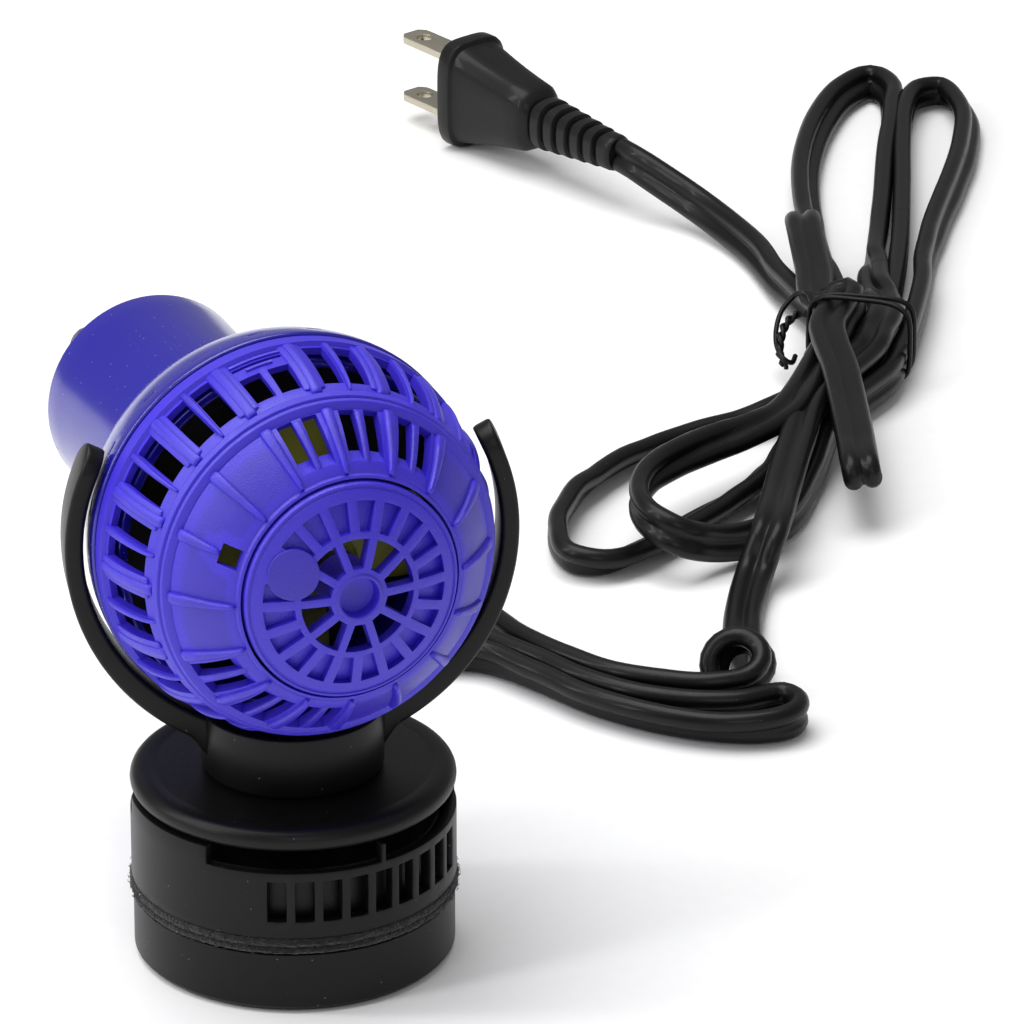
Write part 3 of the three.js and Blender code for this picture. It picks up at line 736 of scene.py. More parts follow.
class PUMP_OT_yoke(bpy.types.Operator):
    """Yoke that grips the ball, with its round neck"""

    bl_idname = "pump.yoke"
    bl_label = "Yoke"

    def execute(self, context):
        cup_start, cup_end = 3.6, 26.1
        cup = [
            (YOKE_IN * math.sin(a), -YOKE_IN * math.cos(a))
            for a in (math.radians(cup_start + (cup_end - cup_start) * k / 16) for k in range(17))
        ]
        rim = YOKE_IN * math.cos(math.radians(cup_end))
        neck = turned([
            (2.2, NECK_LOW), (NECK_R - 0.7, NECK_LOW), (NECK_R - 0.2, NECK_LOW + 0.2),
            (NECK_R, NECK_LOW + 0.7), (NECK_R + 0.25, -rim - 0.6), (NECK_R + 0.15, -rim - 0.15),
            (NECK_R - 0.1, -rim + 0.02), *cup[::-1],
        ], 160)
        piece("yoke_band", merged(yoke_band(), neck), "yoke", finish("black"),
              place=YOKE, replaces=["yoke"])
        return {"FINISHED"}


# ------------------------------------------------------------------ pump head
REAR_R, CAGE_R, SHELL = 33.7, 33.3, 2.0
SEAM, REAR_END, TUBE_R, FILLET, FLARE = -2.8, -66.9, 17.6, 10.0, 0.8


def on_ball(radius, height):
    return (math.sqrt(max(0.0, radius ** 2 - height ** 2)), height)


def rear_rows():
    """Outer and inner corners of the rear housing, from the seam back to the tube's rim."""
    rows = []
    centre_r = TUBE_R + FILLET
    centre_z = -math.sqrt((REAR_R + FILLET) ** 2 - centre_r ** 2)
    ball_end = centre_z * REAR_R / (REAR_R + FILLET)
    heights = [SEAM - 0.15, -3.3, -4.6, -6.2, -6.75, -8.2]
    span = 12
    start, end = math.asin(-8.2 / REAR_R), math.asin(ball_end / REAR_R)
    heights += [REAR_R * math.sin(start + (end - start) * k / span) for k in range(1, span + 1)]
    for z in heights:
        outer = on_ball(REAR_R, z)
        rows.append((outer, on_ball(REAR_R - SHELL, z * (REAR_R - SHELL) / REAR_R)))
    rows[0] = ((rows[0][0][0] - 0.28, SEAM - 0.15), rows[0][1])
    meet = math.atan2(-centre_z, -centre_r)
    for k in range(1, 11):
        a = meet + (math.pi - meet) * k / 10
        outer = (centre_r + FILLET * math.cos(a), centre_z + FILLET * math.sin(a))
        inner = (
            centre_r + (FILLET + SHELL) * math.cos(a), centre_z + (FILLET + SHELL) * math.sin(a)
        )
        rows.append((outer, inner))
    last = rows[-1][0][1]
    for k in range(1, 9):
        z = last + (REAR_END + 0.5 - last) * k / 8
        flare = FLARE * (k / 8) ** 2
        rows.append(((TUBE_R + flare, z), (TUBE_R - SHELL + flare * 0.3, z)))
    rows.append(((TUBE_R + FLARE - 0.05, REAR_END + 0.15), (TUBE_R - 1.6, REAR_END + 0.3)))
    rows.append(((TUBE_R + FLARE - 0.4, REAR_END), (TUBE_R - 1.2, REAR_END)))
    return rows


class PUMP_OT_rear_housing(bpy.types.Operator):
    """Glossy rear housing with its dash slits, rear cap and ribbed cable gland"""

    bl_idname = "pump.rear_housing"
    bl_label = "Rear housing"

    def execute(self, context):
        rows = rear_rows()
        slits, first_slit = 20, 0.15
        pitch = 2 * math.pi / slits
        columns, open_columns = [], set()
        for i in range(slits):
            start = pitch * (i + first_slit)
            for share in (0, 0.24, 0.43, 0.62, 0.81):
                if share == 0:
                    open_columns.add(len(columns))
                columns.append(start + pitch * share)
        slit_row = 3

        def is_open(i, j):
            return j == slit_row and i in open_columns

        shell = pierced_shell(len(columns), rows, lambda i, j: columns[i], is_open)
        spigot = turned([
            (28.9, -8.5), (31.4, -8.5), (31.4, SEAM - 0.3), (30.6, SEAM - 0.3), (30.6, 1.3),
            (30.4, 1.5), (29.1, 1.5), (28.9, 1.3),
        ], 128)
        piece("rear_shell", merged(shell, spigot), "head", finish("gloss"),
              place=HEAD, replaces=["rear_housing"], modifiers=[edge(0.12)])
        cap = turned(softened([
            (4.3, -66.7), (6.9, -66.7), (7.2, -66.3), (12.6, -66.3), (12.9, -66.6), (15.2, -66.6),
            (16.1, -66.1), (16.1, -64.8), (4.3, -64.8),
        ], 0.2), 96)
        piece("rear_plug", cap, "head", finish("gloss"), place=HEAD,
              replaces=["rear_cap"])
        piece("gland", gland(), "head", finish("rubber"), place=HEAD,
              replaces=["cable_gland"])
        return {"FINISHED"}


def gland():
    """Ribbed, tapered strain relief."""
    profile = [(0, -87), (4.0, -87), (4.2, -86.7)]
    for i in range(4, -1, -1):
        z = -66.9 - i * 3.6
        radius = 6.4 - i * 0.45
        profile += [
            (radius - 0.9, z - 3.3), (radius - 0.9, z - 2.5), (radius - 0.2, z - 2.2),
            (radius, z - 1.9), (radius, z - 0.3), (radius - 0.2, z),
        ]
    profile += [(4, -66.9), (4, -64.5), (6, -64.5), (6, -62.6), (0, -62.6)]
    return turned(profile, 64, closed=False)


SECTORS = 16
SECTOR = 2 * math.pi / SECTORS
SLOTTED = (2, 3, 4, 9, 10, 11)
LOCK_SECTOR = 4
QUARTERS = (0.3, 0.7)
LATCH_RIB, LATCH_HALF = 7, 1.75


def cage_rows():
    """(outer, inner, label) from the seam to the grille's seat; labels mark the opened rows."""
    recess, ridge, dome = CAGE_R - 0.75, CAGE_R + 0.45, CAGE_R - 0.35
    inside = CAGE_R - SHELL
    rows = []

    def add(radius, height, label=""):
        inner = on_ball(inside, min(height, 23.6) * inside / CAGE_R)
        rows.append((on_ball(radius, height), inner, label))

    add(CAGE_R - 0.25, SEAM + 0.12)
    add(CAGE_R, SEAM + 0.5)
    add(CAGE_R, -0.8)
    add(CAGE_R, 0.45)
    add(recess, 0.8)
    for height, label in (
        (1.2, ""), (1.6, "w"), (2.6, "wl"), (3.4, "w"), (6.0, "ws"), (9.2, "ws"), (12.3, ""),
        (14.0, ""), (14.9, ""),
    ):
        add(recess, height, label)
    for radius, height in (
        (ridge - 0.3, 15.1), (ridge, 15.5), (ridge, 16.35), (ridge - 0.4, 16.5),
        (ridge - 0.4, 16.7), (ridge - 0.05, 16.85), (ridge - 0.05, 17.3), (ridge - 0.4, 17.6),
        (dome - 0.25, 17.75),
        (dome, 17.95),
    ):
        add(radius, height)
    for reach, label in ((27.6, "d"), (25.8, "d"), (24.2, "d"), (22.9, "dq"), (21.4, "q")):
        add(dome, math.sqrt(dome ** 2 - reach ** 2), label)
    rows.append(((20.1, 26.1), (19.6, 24.2), ""))
    rows.append(((19.75, 26.15), (19.3, 24.5), ""))
    rows.append(((19.45, 26.65), (19.1, 24.7), ""))
    rows.append(((19.0, 26.75), (18.8, 24.8), ""))
    return rows


def cage_columns(rows):
    """Angle of every column at every row; columns run along rib, window and fin lines."""
    table = []
    for (radius, _), _, label in rows:
        width = 1.35 if radius < 28.5 else 1.85
        half = math.asin(width / radius)
        angles = []
        for i in range(SECTORS):
            start = i * SECTOR
            angles.append(start)
            for q, quarter in enumerate(QUARTERS):
                middle = start + quarter * SECTOR
                angles += [middle - half, middle, middle + half]
                if q == 0:
                    angles.append(start + SECTOR / 2)
            if "q" in label or radius < 20.5:
                notch = math.asin(LATCH_HALF / radius)
                if i == LATCH_RIB:
                    angles[-7] = start + notch
                if i == LATCH_RIB - 1:
                    angles[-1] = start + SECTOR - notch
        table.append(angles)
    return table


def cage_shell():
    rows = cage_rows()
    table = cage_columns(rows)
    columns = len(table[0])
    per_sector = columns // SECTORS

    def is_open(i, j):
        sector, column = divmod(i, per_sector)
        label = rows[j][2]
        window = column in (1, 2, 5, 6)
        if "q" in label and (sector, column) in ((LATCH_RIB - 1, 7), (LATCH_RIB, 0)):
            return True
        if sector == LOCK_SECTOR and "d" not in label:
            if "l" in label:
                return 1 <= column <= 6
            return "s" in label and window
        if "w" in label:
            return window
        return "d" in label and window and sector in SLOTTED

    return pierced_shell(columns, rows, lambda i, j: table[j][i], is_open)


def meridian_bar(turn, start, end, base, crest, width, taper=1.0, nose=0.6):
    """A raised bar that runs along the ball from one height to another, with rounded ends."""
    rings = []
    steps = 22
    shape = (
        (-1.0, -0.5), (-1.0, 0.45), (-0.86, 0.78), (-0.55, 0.95), (0.0, 1.0), (0.55, 0.95),
        (0.86, 0.78), (1.0, 0.45), (1.0, -0.5),
    )
    first, last = math.asin(start / base), math.asin(end / base)
    length = (last - first) * base
    for k in range(steps + 1):
        t = 0.5 - 0.5 * math.cos(math.pi * k / steps)
        theta = first + (last - first) * t
        half = width / 2 * (1 + (taper - 1) * t)
        from_end = min((1 - t) * length, t * length)
        drop = math.sqrt(max(0.0, 1 - (1 - min(1.0, from_end / nose)) ** 2))
        ring = []
        for across, up in shape:
            lift = up if up < 0 else up * (1 - 0.15 * across ** 2)
            reach = base + (crest - base) * (lift if lift < 0 else lift * (0.25 + 0.75 * drop))
            side = across * half * (0.55 + 0.45 * drop)
            around_z = turn + side / max(1e-3, base * math.cos(theta))
            ring.append(Vector((
                reach * math.cos(theta) * math.cos(around_z),
                reach * math.cos(theta) * math.sin(around_z), reach * math.sin(theta),
            )))
        rings.append(ring)
    return skinned(rings)


def lock_frame():
    """Raised lips round the lock tab's slit, in the lock sector."""
    middle = (LOCK_SECTOR + 0.5) * SECTOR
    base = CAGE_R - 0.75
    parts = []
    for height, reach in ((4.35, 2.3), (1.9, 4.4)):
        rings = []
        for k in range(9):
            a = middle + (k / 4 - 1) * reach / base
            ring = []
            for across, up in ((-0.28, -0.3), (-0.28, 0.35), (0, 0.5), (0.28, 0.35), (0.28, -0.3)):
                radius, z = on_ball(base + up, height + across)
                ring.append(Vector((radius * math.cos(a), radius * math.sin(a), z)))
            rings.append(ring)
        parts.append(skinned(rings))
    return parts


class PUMP_OT_front_cage(bpy.types.Operator):
    """Front cage: window band, ridge ring and slotted, ribbed dome"""

    bl_idname = "pump.front_cage"
    bl_label = "Front cage"

    def execute(self, context):
        recess, dome = CAGE_R - 0.75, CAGE_R - 0.35
        bars = []
        for i in range(SECTORS):
            turn = i * SECTOR
            bars.append(meridian_bar(turn, 0.3, 13.3, recess, CAGE_R - 0.25, 3.7, nose=0.5))
            bars.append(meridian_bar(turn, 0.2, 14.3, recess, CAGE_R + 0.12, 1.9, nose=0.8))
            if i != LOCK_SECTOR:
                bars.append(meridian_bar(
                    turn + SECTOR / 2, 0.2, 14.0, recess, CAGE_R, 1.25, 0.5, nose=2.2))
            end = 23.7 if i == LATCH_RIB else 26.3
            bars.append(meridian_bar(turn, 17.5, end, dome, CAGE_R + 0.55, 2.1, 0.45, nose=1.2))
            if i in SLOTTED:
                bars.append(meridian_bar(
                    turn + SECTOR / 2, 17.9, 25.0, dome - 0.4, dome + 0.25, 1.5, 0.75, nose=0.6))
        piece("cage", merged(cage_shell(), *bars, *lock_frame()), "cage",
              finish("satin"), place=HEAD, replaces=["front_cage"], modifiers=[edge(0.14)])
        return {"FINISHED"}


GRILLE_R, HUB_TOP = 18.5, 31.0


def grille_face(radius):
    return HUB_TOP - 3.6 * (radius / GRILLE_R) ** 2


def grille_plate():
    """Slotted grille plate: ten long inner slots and twenty outer pockets."""
    reaches = [3.7, 4.2, 4.9, 6.2, 7.5, 8.7, 9.8, 10.8, 12.0, 13.2, 14.5, 15.8, 16.6, 17.5]
    rows = [((r, grille_face(r)), (r, grille_face(r) - 2.2)) for r in reaches]
    rows += [
        ((17.65, grille_face(17.6) - 0.16), (17.6, 25.4)),
        ((17.85, grille_face(17.8) - 0.16), (17.8, 25.3)),
        ((18.0, grille_face(18) + 0.1), (18.0, 25.2)),
        ((18.3, grille_face(18.3) + 0.1), (18.3, 25.2)),
        ((18.5, grille_face(18.5) - 0.15), (18.5, 25.25)),
    ]
    sectors = 20
    table = []
    for (radius, _), _ in rows:
        thick = 0.66 if radius < 10 else 0.82
        half = math.asin(thick / max(radius, 4.2))
        angles = []
        for i in range(sectors):
            start = 2 * math.pi * i / sectors
            pitch = 2 * math.pi / sectors
            inside = pitch - 2 * half
            angles += [start - half, start + half]
            angles += [start + half + inside * k / 3 for k in (1, 2)]
        table.append(angles)
    pad = math.radians(154)

    def is_open(i, j):
        sector, column = divmod(i, 4)
        spoke = column == 0
        middle = (sector + 0.5) * 2 * math.pi / sectors
        if 2 <= j < 6:
            return not (spoke and sector % 2 == 0)
        if 7 <= j < 11:
            return not spoke and abs(middle - pad) > 0.2
        return False

    bm = pierced_shell(sectors * 4, rows, lambda i, j: table[j][i], is_open)
    round_hole_corners(bm, lambda e: abs(e.verts[0].co.z - e.verts[1].co.z) > 1.5
                       and (e.verts[0].co.xy - e.verts[1].co.xy).length < 0.3, 0.75, 4)
    return bm


class PUMP_OT_outlet_grille(bpy.types.Operator):
    """Outlet grille with its hub cup and round pad"""

    bl_idname = "pump.outlet_grille"
    bl_label = "Outlet grille"

    def execute(self, context):
        hub = turned(softened([
            (0, 28.6), (3.25, 28.6), (3.45, 31.0), (3.75, 31.12), (4.15, 30.85), (4.3, 30.4),
            (4.6, 22.4), (1.9, 22.4), (1.9, 27.6), (0, 27.6),
        ], 0.15, 2), 96)
        floor = turned([
            (10.4, grille_face(10.4) - 1.35), (16.2, grille_face(16.2) - 1.35),
            (16.2, grille_face(16.2) - 2.1), (10.4, grille_face(10.4) - 2.1),
        ], 96)
        pad_at = Vector((12 * math.cos(math.radians(154)), 12 * math.sin(math.radians(154)), 0))
        pad = turned(
            softened([(0, 26), (4.3, 26), (4.3, 29.62), (0, 29.72)], 0.2), 64, closed=False
        )
        lean = Matrix.Rotation(0.23, 4, Vector((0, 0, 1)).cross(pad_at.normalized()))
        height = Vector((0, 0, 29.5))
        pad = placed(pad, Matrix.Translation(pad_at + height) @ lean @ Matrix.Translation(-height))
        piece("grille", merged(grille_plate(), hub, floor, pad), "cage",
              finish("satin"), place=HEAD, replaces=["outlet_grille"], modifiers=[edge(0.12)])
        return {"FINISHED"}


# ------------------------------------------------------------------ inside the ball
class PUMP_OT_impeller(bpy.types.Operator):
    """Olive impeller with four twisted blades"""

    bl_idname = "pump.impeller"
    bl_label = "Impeller"

    def execute(self, context):
        parts = [turned(softened([
            (1.75, -5.7), (5.6, -5.7), (5.6, 16.2), (4.6, 18), (1.75, 18),
        ], 0.5), 64)]
        for i in range(4):
            parts.append(placed(blade(), Matrix.Rotation(i * math.pi / 2, 4, "Z")))
        piece("impeller_blades", merged(*parts), "rotor", finish("olive"),
              place=HEAD, replaces=["impeller"])
        return {"FINISHED"}


def blade():
    """One twisted blade with a rounded section: steep at the hub and flatter at the tip."""
    root, tip, steps, middle = 4.5, 22.5, 18, 7
    thick, chord_width, round_from = 0.65, 15, 0.85
    rings = []
    for k in range(steps + 1):
        along = k / steps
        twist = math.radians(25 + 30 * along)
        chord = chord_width * (0.75 + 0.35 * math.sin(math.pi * min(1, along * 0.9 + 0.1)))
        if along > round_from:
            chord *= math.sqrt(max(0.2, 1 - ((along - round_from) / 0.16) ** 2))
        ring = []
        for n in range(20):
            a = 2 * math.pi * n / 20
            y = thick * math.copysign(abs(math.sin(a)) ** 0.6, math.sin(a))
            z = chord / 2 * math.cos(a)
            ring.append(Vector((
                root + (tip - root) * along, y * math.cos(twist) - z * math.sin(twist),
                y * math.sin(twist) + z * math.cos(twist) + middle,
            )))
        rings.append(ring)
    return skinned(rings)


class PUMP_OT_works(bpy.types.Operator):
    """Finishes for the magnets, motor, shaft and screw, which keep their own shapes"""

    bl_idname = "pump.works"
    bl_label = "Inner works"

    def execute(self, context):
        chosen = {
            "outer_backing_plate": "steel", "inner_backing_plate": "steel",
            "outer_magnet": "ferrite", "inner_magnet": "ferrite", "rotor_magnet": "ferrite",
            "swivel_screw": "steel", "swivel_washer": "steel", "stator_core": "steel",
            "stator_coil": "copper", "ceramic_shaft": "ceramic", "impeller_washer": "ceramic",
            "rear_shaft_bush": "rubber", "front_shaft_bush": "rubber", "rotor_well": "black",
        }
        for node, name in chosen.items():
            for slot in frame["nodes"][node].material_slots:
                slot.material = finish(name)
        return {"FINISHED"}


# ------------------------------------------------------------------ cord
TIE = Vector((186.7, 178.9, 0))
ALONG = Vector((0.579, 0.815, 0)).normalized()
ACROSS = Vector((-0.815, 0.579, 0)).normalized()


def at_tie(across, along, height):
    """A place given across and along the bundle's waist."""
    return TIE + ACROSS * across + ALONG * along + Vector((0, 0, height))


def through_tie(offset, height, forward, lean=0):
    """Three points of a pass through the tie, at an offset across it."""
    way = 1 if forward else -1
    return [
        (*(TIE + ACROSS * offset + ALONG * reach * way).xy, height, lean)
        for reach in (-9, 0, 9)
    ]


def cord_route():
    """The cord's centre line from gland to plug: x, y, height and lean (90 is broad face up)."""
    route = [
        (0, 87.5, 71.6, 0), (0, 92, 71.3, 0), (0, 98, 69, 0), (0.5, 103, 64, 0),
        (1.2, 105.6, 56, 0), (2.5, 106, 44, 0), (5, 105, 30, 0), (9.5, 103, 17, 0),
        (17.5, 100, 8, 0), (28, 97.2, 4.4, 0), (38.3, 95.2, 3.7, 0), (48.3, 93.9, 3.6, 0),
        (56.5, 89.8, 3.6, 10), (68.3, 84.1, 3.4, 20), (74.4, 72.6, 3.2, 30), (79.7, 59.7, 3.2, 35),
        (87, 49, 3.2, 35), (94.9, 41.7, 3.2, 35), (102.9, 38.1, 3.3, 25), (108.8, 38.3, 3.5, 10),
        (111.6, 41.9, 3.6, 0), (110.6, 45.9, 3.6, -5), (102.2, 46.5, 3.6, -15),
        (94.1, 50.3, 3.6, -20), (86.8, 56.5, 3.6, -20), (80.8, 65.8, 3.6, -20),
        (76.1, 76.7, 3.6, -10), (68.5, 92, 3.6, 0), (62, 104, 3.6, 0), (58.5, 113, 3.6, 0),
        (61, 121, 3.6, 0), (68, 121.5, 3.6, 0), (72.5, 113, 3.6, 0), (75.5, 95, 3.6, 0),
        (77.4, 84.5, 3.8, 10), (81.4, 74.5, 4, 20), (86, 65.5, 4.2, 25), (92.2, 58.4, 4.6, 25),
        (99.1, 52.8, 5, 20),
    ]
    route += [
        (106.8, 51.7, 6, 37), (109.6, 52.7, 7.5, 16), (110.5, 55.4, 9.3, -20),
        (109, 58.3, 10.3, -38), (106, 59.9, 9.6, -37), (103.4, 59.5, 7.3, -16),
        (102.8, 57.7, 4.3, 20), (104.8, 55.8, 2.1, 38), (108, 55.3, 1.4, 38),
        (116.1, 76.1, 2.6, 90), (123.3, 90.3, 2, 90), (128.8, 98.4, 4, 90), (132.5, 101.1, 9.4, 90),
        (143.3, 119, 9.4, 90), (153.2, 135.2, 9.6, 90), (165.2, 153.1, 10.2, 90),
    ]
    route += through_tie(-3.2, 10.45, True, 90)
    route += [
        (202.6, 207.3, 7, 45), (213.1, 228.6, 4, 5), (223.3, 248.1, 3.6, 0), (234.9, 271.3, 3.6, 0),
        (246.2, 292.9, 3.6, 5), (251.9, 306.3, 3.4, 20), (250.8, 313, 3.2, 35),
        (243.2, 309.3, 3, 40), (232.9, 297.7, 3, 40), (220.9, 278.7, 3, 40), (211.8, 259.1, 3, 40),
        (203.1, 234.3, 3.4, 25), (195.3, 207.8, 4.6, 5),
    ]
    route += through_tie(2.6, 5.0, False)
    route += [
        (162.3, 163.1, 4, -20), (150.4, 161.5, 3, -45), (136.2, 159.4, 2.8, -55),
        (120.2, 150.9, 2.9, -45), (108.2, 138.8, 3.4, -20), (101.2, 126.1, 3.6, 0),
        (100, 116.5, 3.4, 25), (105, 113.3, 3, 50), (114.3, 116.4, 2.8, 60), (127, 123.5, 2.8, 60),
        (143.7, 133.6, 3.2, 45), (156.8, 146.2, 4, 20),
    ]
    route += through_tie(-2.6, 5.0, True)
    route += [
        (215.5, 223.1, 4, 0), (230.8, 254.3, 3.6, 0), (240.9, 275.9, 3.6, 0),
        (249.4, 292.8, 3.6, 0), (256.3, 302, 3.4, 15), (262.3, 302, 3.2, 30), (261.3, 289, 3.2, 30),
        (253.2, 271.9, 3.2, 30), (242.5, 254.9, 3.3, 25), (231.3, 238.4, 3.4, 20),
        (219.9, 220.1, 3.6, 10), (211.4, 203.8, 4.4, 0),
    ]
    route += through_tie(-7.6, 5.0, False)
    route += [
        (169.7, 152.8, 4.6, 0), (155.8, 132.5, 3.7, 0), (143.6, 117, 3.6, 0),
        (134.1, 111.2, 3.7, 10), (125.2, 108.4, 5.4, 10), (117.1, 106.2, 9, 5),
        (113.4, 111.5, 10.8, 0), (115.3, 121.4, 10.8, 0), (121, 129.8, 10.8, -5),
        (129, 135.4, 10.7, -20), (138.1, 139.4, 10.6, -40), (147.8, 142.9, 10.5, -70),
        (156.6, 147.9, 10.45, -90),
    ]
    route += through_tie(4.2, 10.45, True, -90)
    route += [
        (187.4, 198.2, 9.2, -90), (193.2, 214.6, 9.1, -90), (197.2, 226.8, 9.1, -90),
        (198.4, 230.9, 9.9, -90), (198, 230.7, 11.6, -90), (195.9, 226, 13.2, -90),
        (193.3, 218.9, 13.4, -90), (188, 203.9, 13.2, -90), (182.7, 188.2, 13.4, -90),
    ]
    route += through_tie(4.8, 14.3, False, -90)
    route += [
        (171.5, 154.9, 13.8, -90), (166.6, 140.5, 13.2, -90), (161.2, 125.5, 13, -90),
        (157.2, 114.7, 12.6, -90), (157.2, 113.7, 10.8, -90), (159.1, 118.3, 9, -90),
        (161.7, 125.4, 8.9, -90), (167.3, 140.9, 9, -90), (171.5, 155, 8.4, -50),
    ]
    route += through_tie(7.6, 5.0, True)
    route += [
        (187.1, 208.6, 5.2, 0), (188.2, 221.4, 4.2, 10), (190.4, 236.4, 3.8, 20),
        (190, 249, 4.2, 20), (187.4, 259.4, 6, 20), (183, 267.2, 9, 15), (180.1, 272, 10.9, 5),
        (178.5, 276.8, 11.5, 0),
    ]
    return route


def cord_section(width, thickness):
    """Outline of a flat twin lead: two round cores with a groove between, long axis first."""
    radius = thickness / 2
    core = width / 2 - radius
    made = []
    for side in (1, -1):
        for k in range(13):
            a = math.radians(-146 + 292 * k / 12) + (0 if side > 0 else math.pi)
            made.append((side * core + radius * math.cos(a), radius * math.sin(a)))
    return made


def swept(line, leans, section):
    """A strip of the given section along a line. Its long axis is upright at no lean."""
    rings = []
    side = Vector((1, 0, 0))
    for i, point in enumerate(line):
        ahead = (line[min(i + 1, len(line) - 1)] - line[max(i - 1, 0)]).normalized()
        side = (side - ahead * side.dot(ahead)).normalized()
        level = ahead.cross(Vector((0, 0, 1)))
        if level.length > 0.35:
            level = level.normalized() * (1 if level.dot(side) > 0 else -1)
            side = side.lerp(level, 0.3).normalized()
        up = side.cross(ahead).normalized()
        turn = Matrix.Rotation(math.radians(leans[i]), 3, ahead)
        long_axis, short_axis = turn @ up, turn @ side
        rings.append([point + long_axis * u + short_axis * v for u, v in section])
    return skinned(rings)


def leans_along(line, route):
    """The lean at every point of the line, eased from one route point to the next."""
    leans = []
    at = 0
    for point in line:
        while at < len(route) - 2 and (
            (Vector(route[at + 1][:3]) - point).length + 0.01
            < (Vector(route[at][:3]) - point).length
        ):
            at += 1
        leans.append(route[at][3])
    for _ in range(5):
        leans = [
            (leans[max(0, i - 1)] + leans[i] + leans[min(len(leans) - 1, i + 1)]) / 3
            for i in range(len(leans))
        ]
    return leans


class PUMP_OT_cord(bpy.types.Operator):
    """Flat twin lead: folded stretch, tied bundle and tail, from the gland to the plug"""

    bl_idname = "pump.cord"
    bl_label = "Cord"

    def execute(self, context):
        sizes = context.scene.pump_sizes
        width, thickness = sizes.cord_width / MM, sizes.cord_thickness / MM
        route = cord_route()
        line = smooth_line([p[:3] for p in route], 1.4)
        leans = leans_along(line, route)
        for point, lean in zip(line, leans):
            rest = thickness / 2 + (width - thickness) / 2 * abs(math.cos(math.radians(lean)))
            point.z = max(point.z, rest)
        bm = swept(line, leans, cord_section(width, thickness))
        obj = piece("cord", bm, None, finish("vinyl"), replaces=[
            "cord_lead", "cord_folded_stretch", "cord_link", "cord_bundle", "cord_tail"
        ], sharp=60)
        length = sum((b - a).length for a, b in zip(line, line[1:])) * MM
        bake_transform(obj)
        line[0] * MM
        [p * MM for p in line]
        return {"FINISHED"}


class PUMP_OT_tie(bpy.types.Operator):
    """Covered wire tie: two turns round the bundle and a twisted pair of ends"""

    bl_idname = "pump.tie"
    bl_label = "Wire tie"

    def execute(self, context):
        parts = []
        half_width, half_height, squareness = 10.2, 8.1, 0.45
        for shift, slant in ((-1.0, 1.6), (0.9, -0.9)):
            corners = []
            for k in range(40):
                a = 2 * math.pi * k / 40
                u = half_width * math.copysign(abs(math.cos(a)) ** squareness, math.cos(a))
                z = half_height * math.copysign(abs(math.sin(a)) ** squareness, math.sin(a))
                lie = shift + slant * math.cos(a)
                corners.append(at_tie(u, lie, 8.75 + z))
            parts.append(rod(corners + corners[:1], 0.5))
        parts.append(rod([at_tie(*place) for place in (
            (9.8, 1.5, 14.5), (11.5, 4.5, 15), (14, 6.5, 13.5), (16.2, 4.5, 11), (16.6, 0.5, 8.5),
            (15.6, -3.5, 6.5), (13.6, -5.8, 5), (12.4, -5, 4.2), (12.2, -2.5, 4.6),
        )], 0.5))
        spine = smooth_line([at_tie(*place) for place in (
            (10.2, 1, 12), (12.6, 1.6, 11.6), (14.6, 0.2, 10), (15.2, -2.4, 7.6),
            (14.8, -4.6, 5.4), (13.6, -6, 3.6),
        )], 0.4)
        for way in (0, math.pi):
            twist = []
            for k, point in enumerate(spine):
                a = way + k * 0.62
                twist.append(point + ACROSS * 0.5 * math.cos(a) + ALONG * 0.35 * math.cos(a + 0.9)
                             + Vector((0, 0, 0.5 * math.sin(a))))
            parts.append(rod(twist, 0.45))
        piece("wire_tie", merged(*parts), "yoke", finish("black"),
              replaces=["cord_tie"], sharp=60)
        return {"FINISHED"}


def rod(points, radius):
    """A round wire along a smooth line."""
    line = smooth_line(points, 0.5)
    section = [(radius * math.cos(a), radius * math.sin(a)) for a in
               (2 * math.pi * k / 10 for k in range(10))]
    return swept(line, [0] * len(line), section)


# ------------------------------------------------------------------ plug
PLUG = (
    Matrix.Translation((178.4, 277.1, 11.5)) @ Matrix.Rotation(math.atan2(44.5, -14.1), 4, "Z")
)


def squarish(x, half_height, half_width, power, sides=48):
    ring = []
    for k in range(sides):
        a = 2 * math.pi * k / sides
        reach = 1 / (abs(math.cos(a)) ** power + abs(math.sin(a)) ** power) ** (1 / power)
        ring.append(Vector((
            x, half_width * reach * math.cos(a), half_height * reach * math.sin(a)
        )))
    return ring


def plug_body():
    """Moulded plug: ribbed strain relief, swelling grip and a flange with a blade face."""
    rings = [squarish(0, 3.2, 2.8, 2.4), squarish(0.4, 3.6, 3.2, 2.4)]
    for k in range(6):
        x = 1.2 + k * 3.8
        t = x / 24
        high, wide = 3.6 + 2.0 * t, 3.2 + 1.8 * t
        for shift, drop in ((0, 0), (2.2, 0), (2.45, 0.25), (2.6, 0.8), (3.4, 0.8), (3.55, 0.25)):
            rings.append(squarish(x + shift, high - drop, wide - drop, 2.6))
    for x, high, wide, power in (
        (24.2, 5.4, 4.8, 2.8), (24.8, 6.1, 5.3, 3.0), (26, 6.8, 5.7, 3.2), (30, 7.4, 5.9, 3.4),
        (34, 8.1, 6.1, 3.6), (38, 8.9, 6.4, 3.8), (41.5, 9.7, 6.7, 4), (43.6, 10.2, 6.95, 4),
        (44.4, 10.5, 7.1, 4), (44.7, 11.1, 7.5, 4), (44.9, 11.4, 7.75, 4), (45.3, 11.5, 7.8, 4),
        (47.9, 11.5, 7.8, 4), (48.3, 11.35, 7.65, 4), (48.5, 10.9, 7.3, 4), (48.5, 9.4, 6.0, 4),
        (48.25, 9.2, 5.8, 4), (48.25, 5, 3, 4),
    ):
        rings.append(squarish(x, high, wide, power))
    return skinned(rings)


